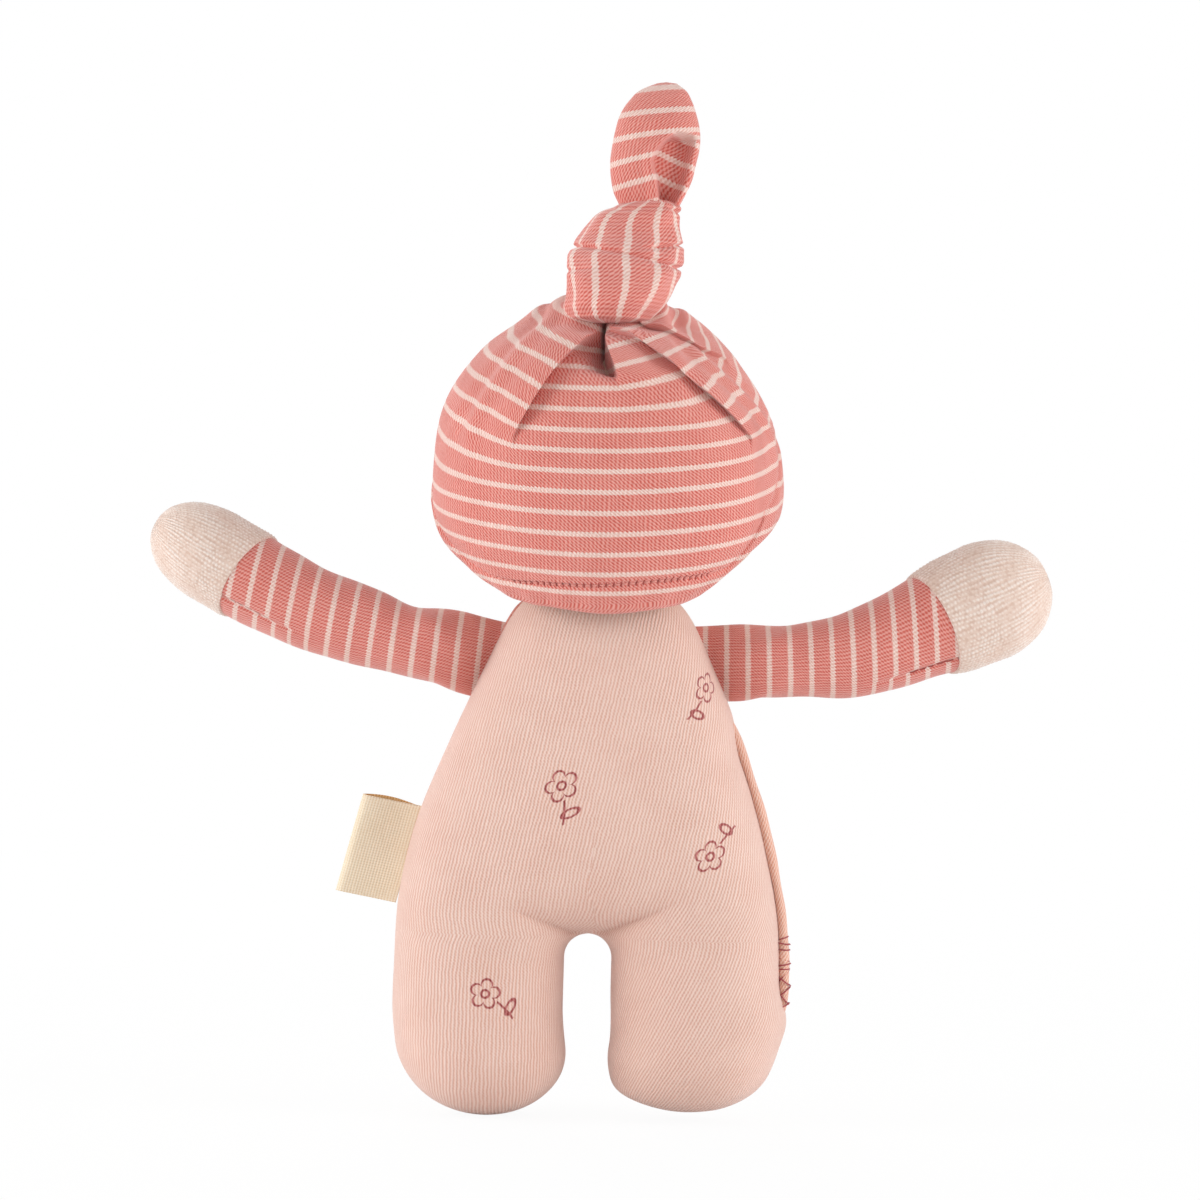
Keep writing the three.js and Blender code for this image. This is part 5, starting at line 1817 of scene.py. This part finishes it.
def stage_white(name, tone, white):
    """A pale surface that the camera sees mostly as white, far away wholly so, and that takes a shadow."""
    material = bpy.data.materials.new(name)
    nodes = empty_tree(material)
    diffuse = nodes.add("ShaderNodeBsdfDiffuse", {"Color": (tone, tone, tone, 1.0)})
    glow = nodes.add("ShaderNodeEmission", {"Color": (1.0, 1.0, 1.0, 1.0), "Strength": 1.0})
    seen = seen_share(nodes)
    place = nodes.add("ShaderNodeVectorMath", operation="LENGTH")
    nodes.put(place.inputs[0], nodes.add("ShaderNodeTexCoord").outputs["Object"])
    share = nodes.range(place.outputs["Value"], *FLOOR_FADE, white, 1.0)
    mixed = nodes.add("ShaderNodeMixShader")
    nodes.put(mixed.inputs[0], nodes.math("MULTIPLY", seen, share))
    nodes.put(mixed.inputs[1], diffuse.outputs[0])
    nodes.put(mixed.inputs[2], glow.outputs[0])
    output = nodes.add("ShaderNodeOutputMaterial")
    nodes.put(output.inputs["Surface"], mixed.outputs[0])
    return material


def make_floor():
    """A wide pale floor."""
    run = np.linspace(-FLOOR_REACH, FLOOR_REACH, 9)
    points = np.stack(np.broadcast_arrays(run[None, :], run[:, None], -mm(0.05)), axis=-1)
    patch = {"points": points, "texture": points[..., :2] / mm(1), "heart": np.array([0, 0, -1.0])}
    floor = build_piece("floor", [patch], [stage_white("floor_white", 0.95, 0.94)])


def make_sky(strength):
    """White surroundings: plain white where the camera looks past the doll, softer as a light."""
    world = bpy.data.worlds.new("studio")
    nodes = empty_tree(world)
    seen = seen_share(nodes)
    level = nodes.math("MULTIPLY_ADD", seen, 1.0 - strength, strength)
    light = nodes.add("ShaderNodeBackground", {"Color": (1.0, 1.0, 1.0, 1.0), "Strength": level})
    output = nodes.add("ShaderNodeOutputWorld")
    nodes.put(output.inputs["Surface"], light.outputs[0])
    bpy.context.scene.world = world


def make_lamp(name, place, aim, power, size):
    """A square soft box that looks at a point."""
    data = bpy.data.lights.new(name, "AREA")
    data.energy, data.size = power, size
    lamp = bpy.data.objects.new(name, data)
    lamp.location = place
    lamp.rotation_euler = (Vector(aim) - Vector(place)).to_track_quat("-Z", "Y").to_euler()
    lamp.visible_camera = False
    bpy.context.scene.collection.objects.link(lamp)


class DOLL_OT_stage(bpy.types.Operator):
    """Make the floor, the soft light and the camera behind the doll"""

    bl_idname = "doll.stage"
    bl_label = "Stage"

    def execute(self, context):
        stage = context.scene.doll_stage
        context.scene.view_settings.view_transform = "Standard"
        data = bpy.data.cameras.new("camera")
        data.lens, data.sensor_width = stage.lens, 36.0
        away = stage.view_width * stage.lens / data.sensor_width
        camera = bpy.data.objects.new("camera", data)
        look = Matrix.Rotation(math.pi, 4, "Z") @ Matrix.Rotation(math.pi / 2, 4, "X")
        place = Matrix.Translation((stage.aim_side, away, stage.aim_height))
        camera.matrix_world = place @ look @ Matrix.Rotation(stage.roll, 4, "Z")
        context.scene.collection.objects.link(camera)
        context.scene.camera = camera
        aim = (0.0, 0.0, stage.aim_height)
        for name, (spot, power, share, size) in LAMPS.items():
            make_lamp(name, spot, aim, getattr(stage, power) * share, size)
        make_sky(stage.sky)
        make_floor()
        return {"FINISHED"}


class DOLL_PT_sidebar(bpy.types.Panel):
    """Lists the doll's pieces in the sidebar"""

    bl_idname = "DOLL_PT_sidebar"
    bl_label = "Grasping Doll"
    bl_space_type = "VIEW_3D"
    bl_region_type = "UI"
    bl_category = "Doll"

    def draw(self, context):
        for operator in OPERATORS:
            self.layout.operator(operator.bl_idname)
        for name, group in SETTINGS.items():
            box = self.layout.box()
            for setting in group.__annotations__:
                box.prop(getattr(context.scene, name), setting)


OPERATORS = [DOLL_OT_stage, DOLL_OT_suit, DOLL_OT_arms, DOLL_OT_head, DOLL_OT_hat, DOLL_OT_knot,
             DOLL_OT_label, DOLL_OT_seam, DOLL_OT_rattle]
CLASSES = [*SETTINGS.values(), *OPERATORS, DOLL_PT_sidebar]


def register():
    """Registers the classes and gives the scene its settings."""
    for item in CLASSES:
        bpy.utils.register_class(item)
    for name, group in SETTINGS.items():
        setattr(bpy.types.Scene, name, PointerProperty(type=group))


def unregister():
    """Takes the settings and the classes away again."""
    for name in SETTINGS:
        delattr(bpy.types.Scene, name)
    for item in reversed(CLASSES):
        bpy.utils.unregister_class(item)


def main():
    """Makes every piece in order."""
    register()
    bpy.ops.doll.stage()
    bpy.ops.doll.suit()
    bpy.ops.doll.arms()
    bpy.ops.doll.head()
    bpy.ops.doll.hat()
    bpy.ops.doll.knot()
    bpy.ops.doll.label()
    bpy.ops.doll.seam()
    bpy.ops.doll.rattle()


if __name__ == "__main__":
    main()
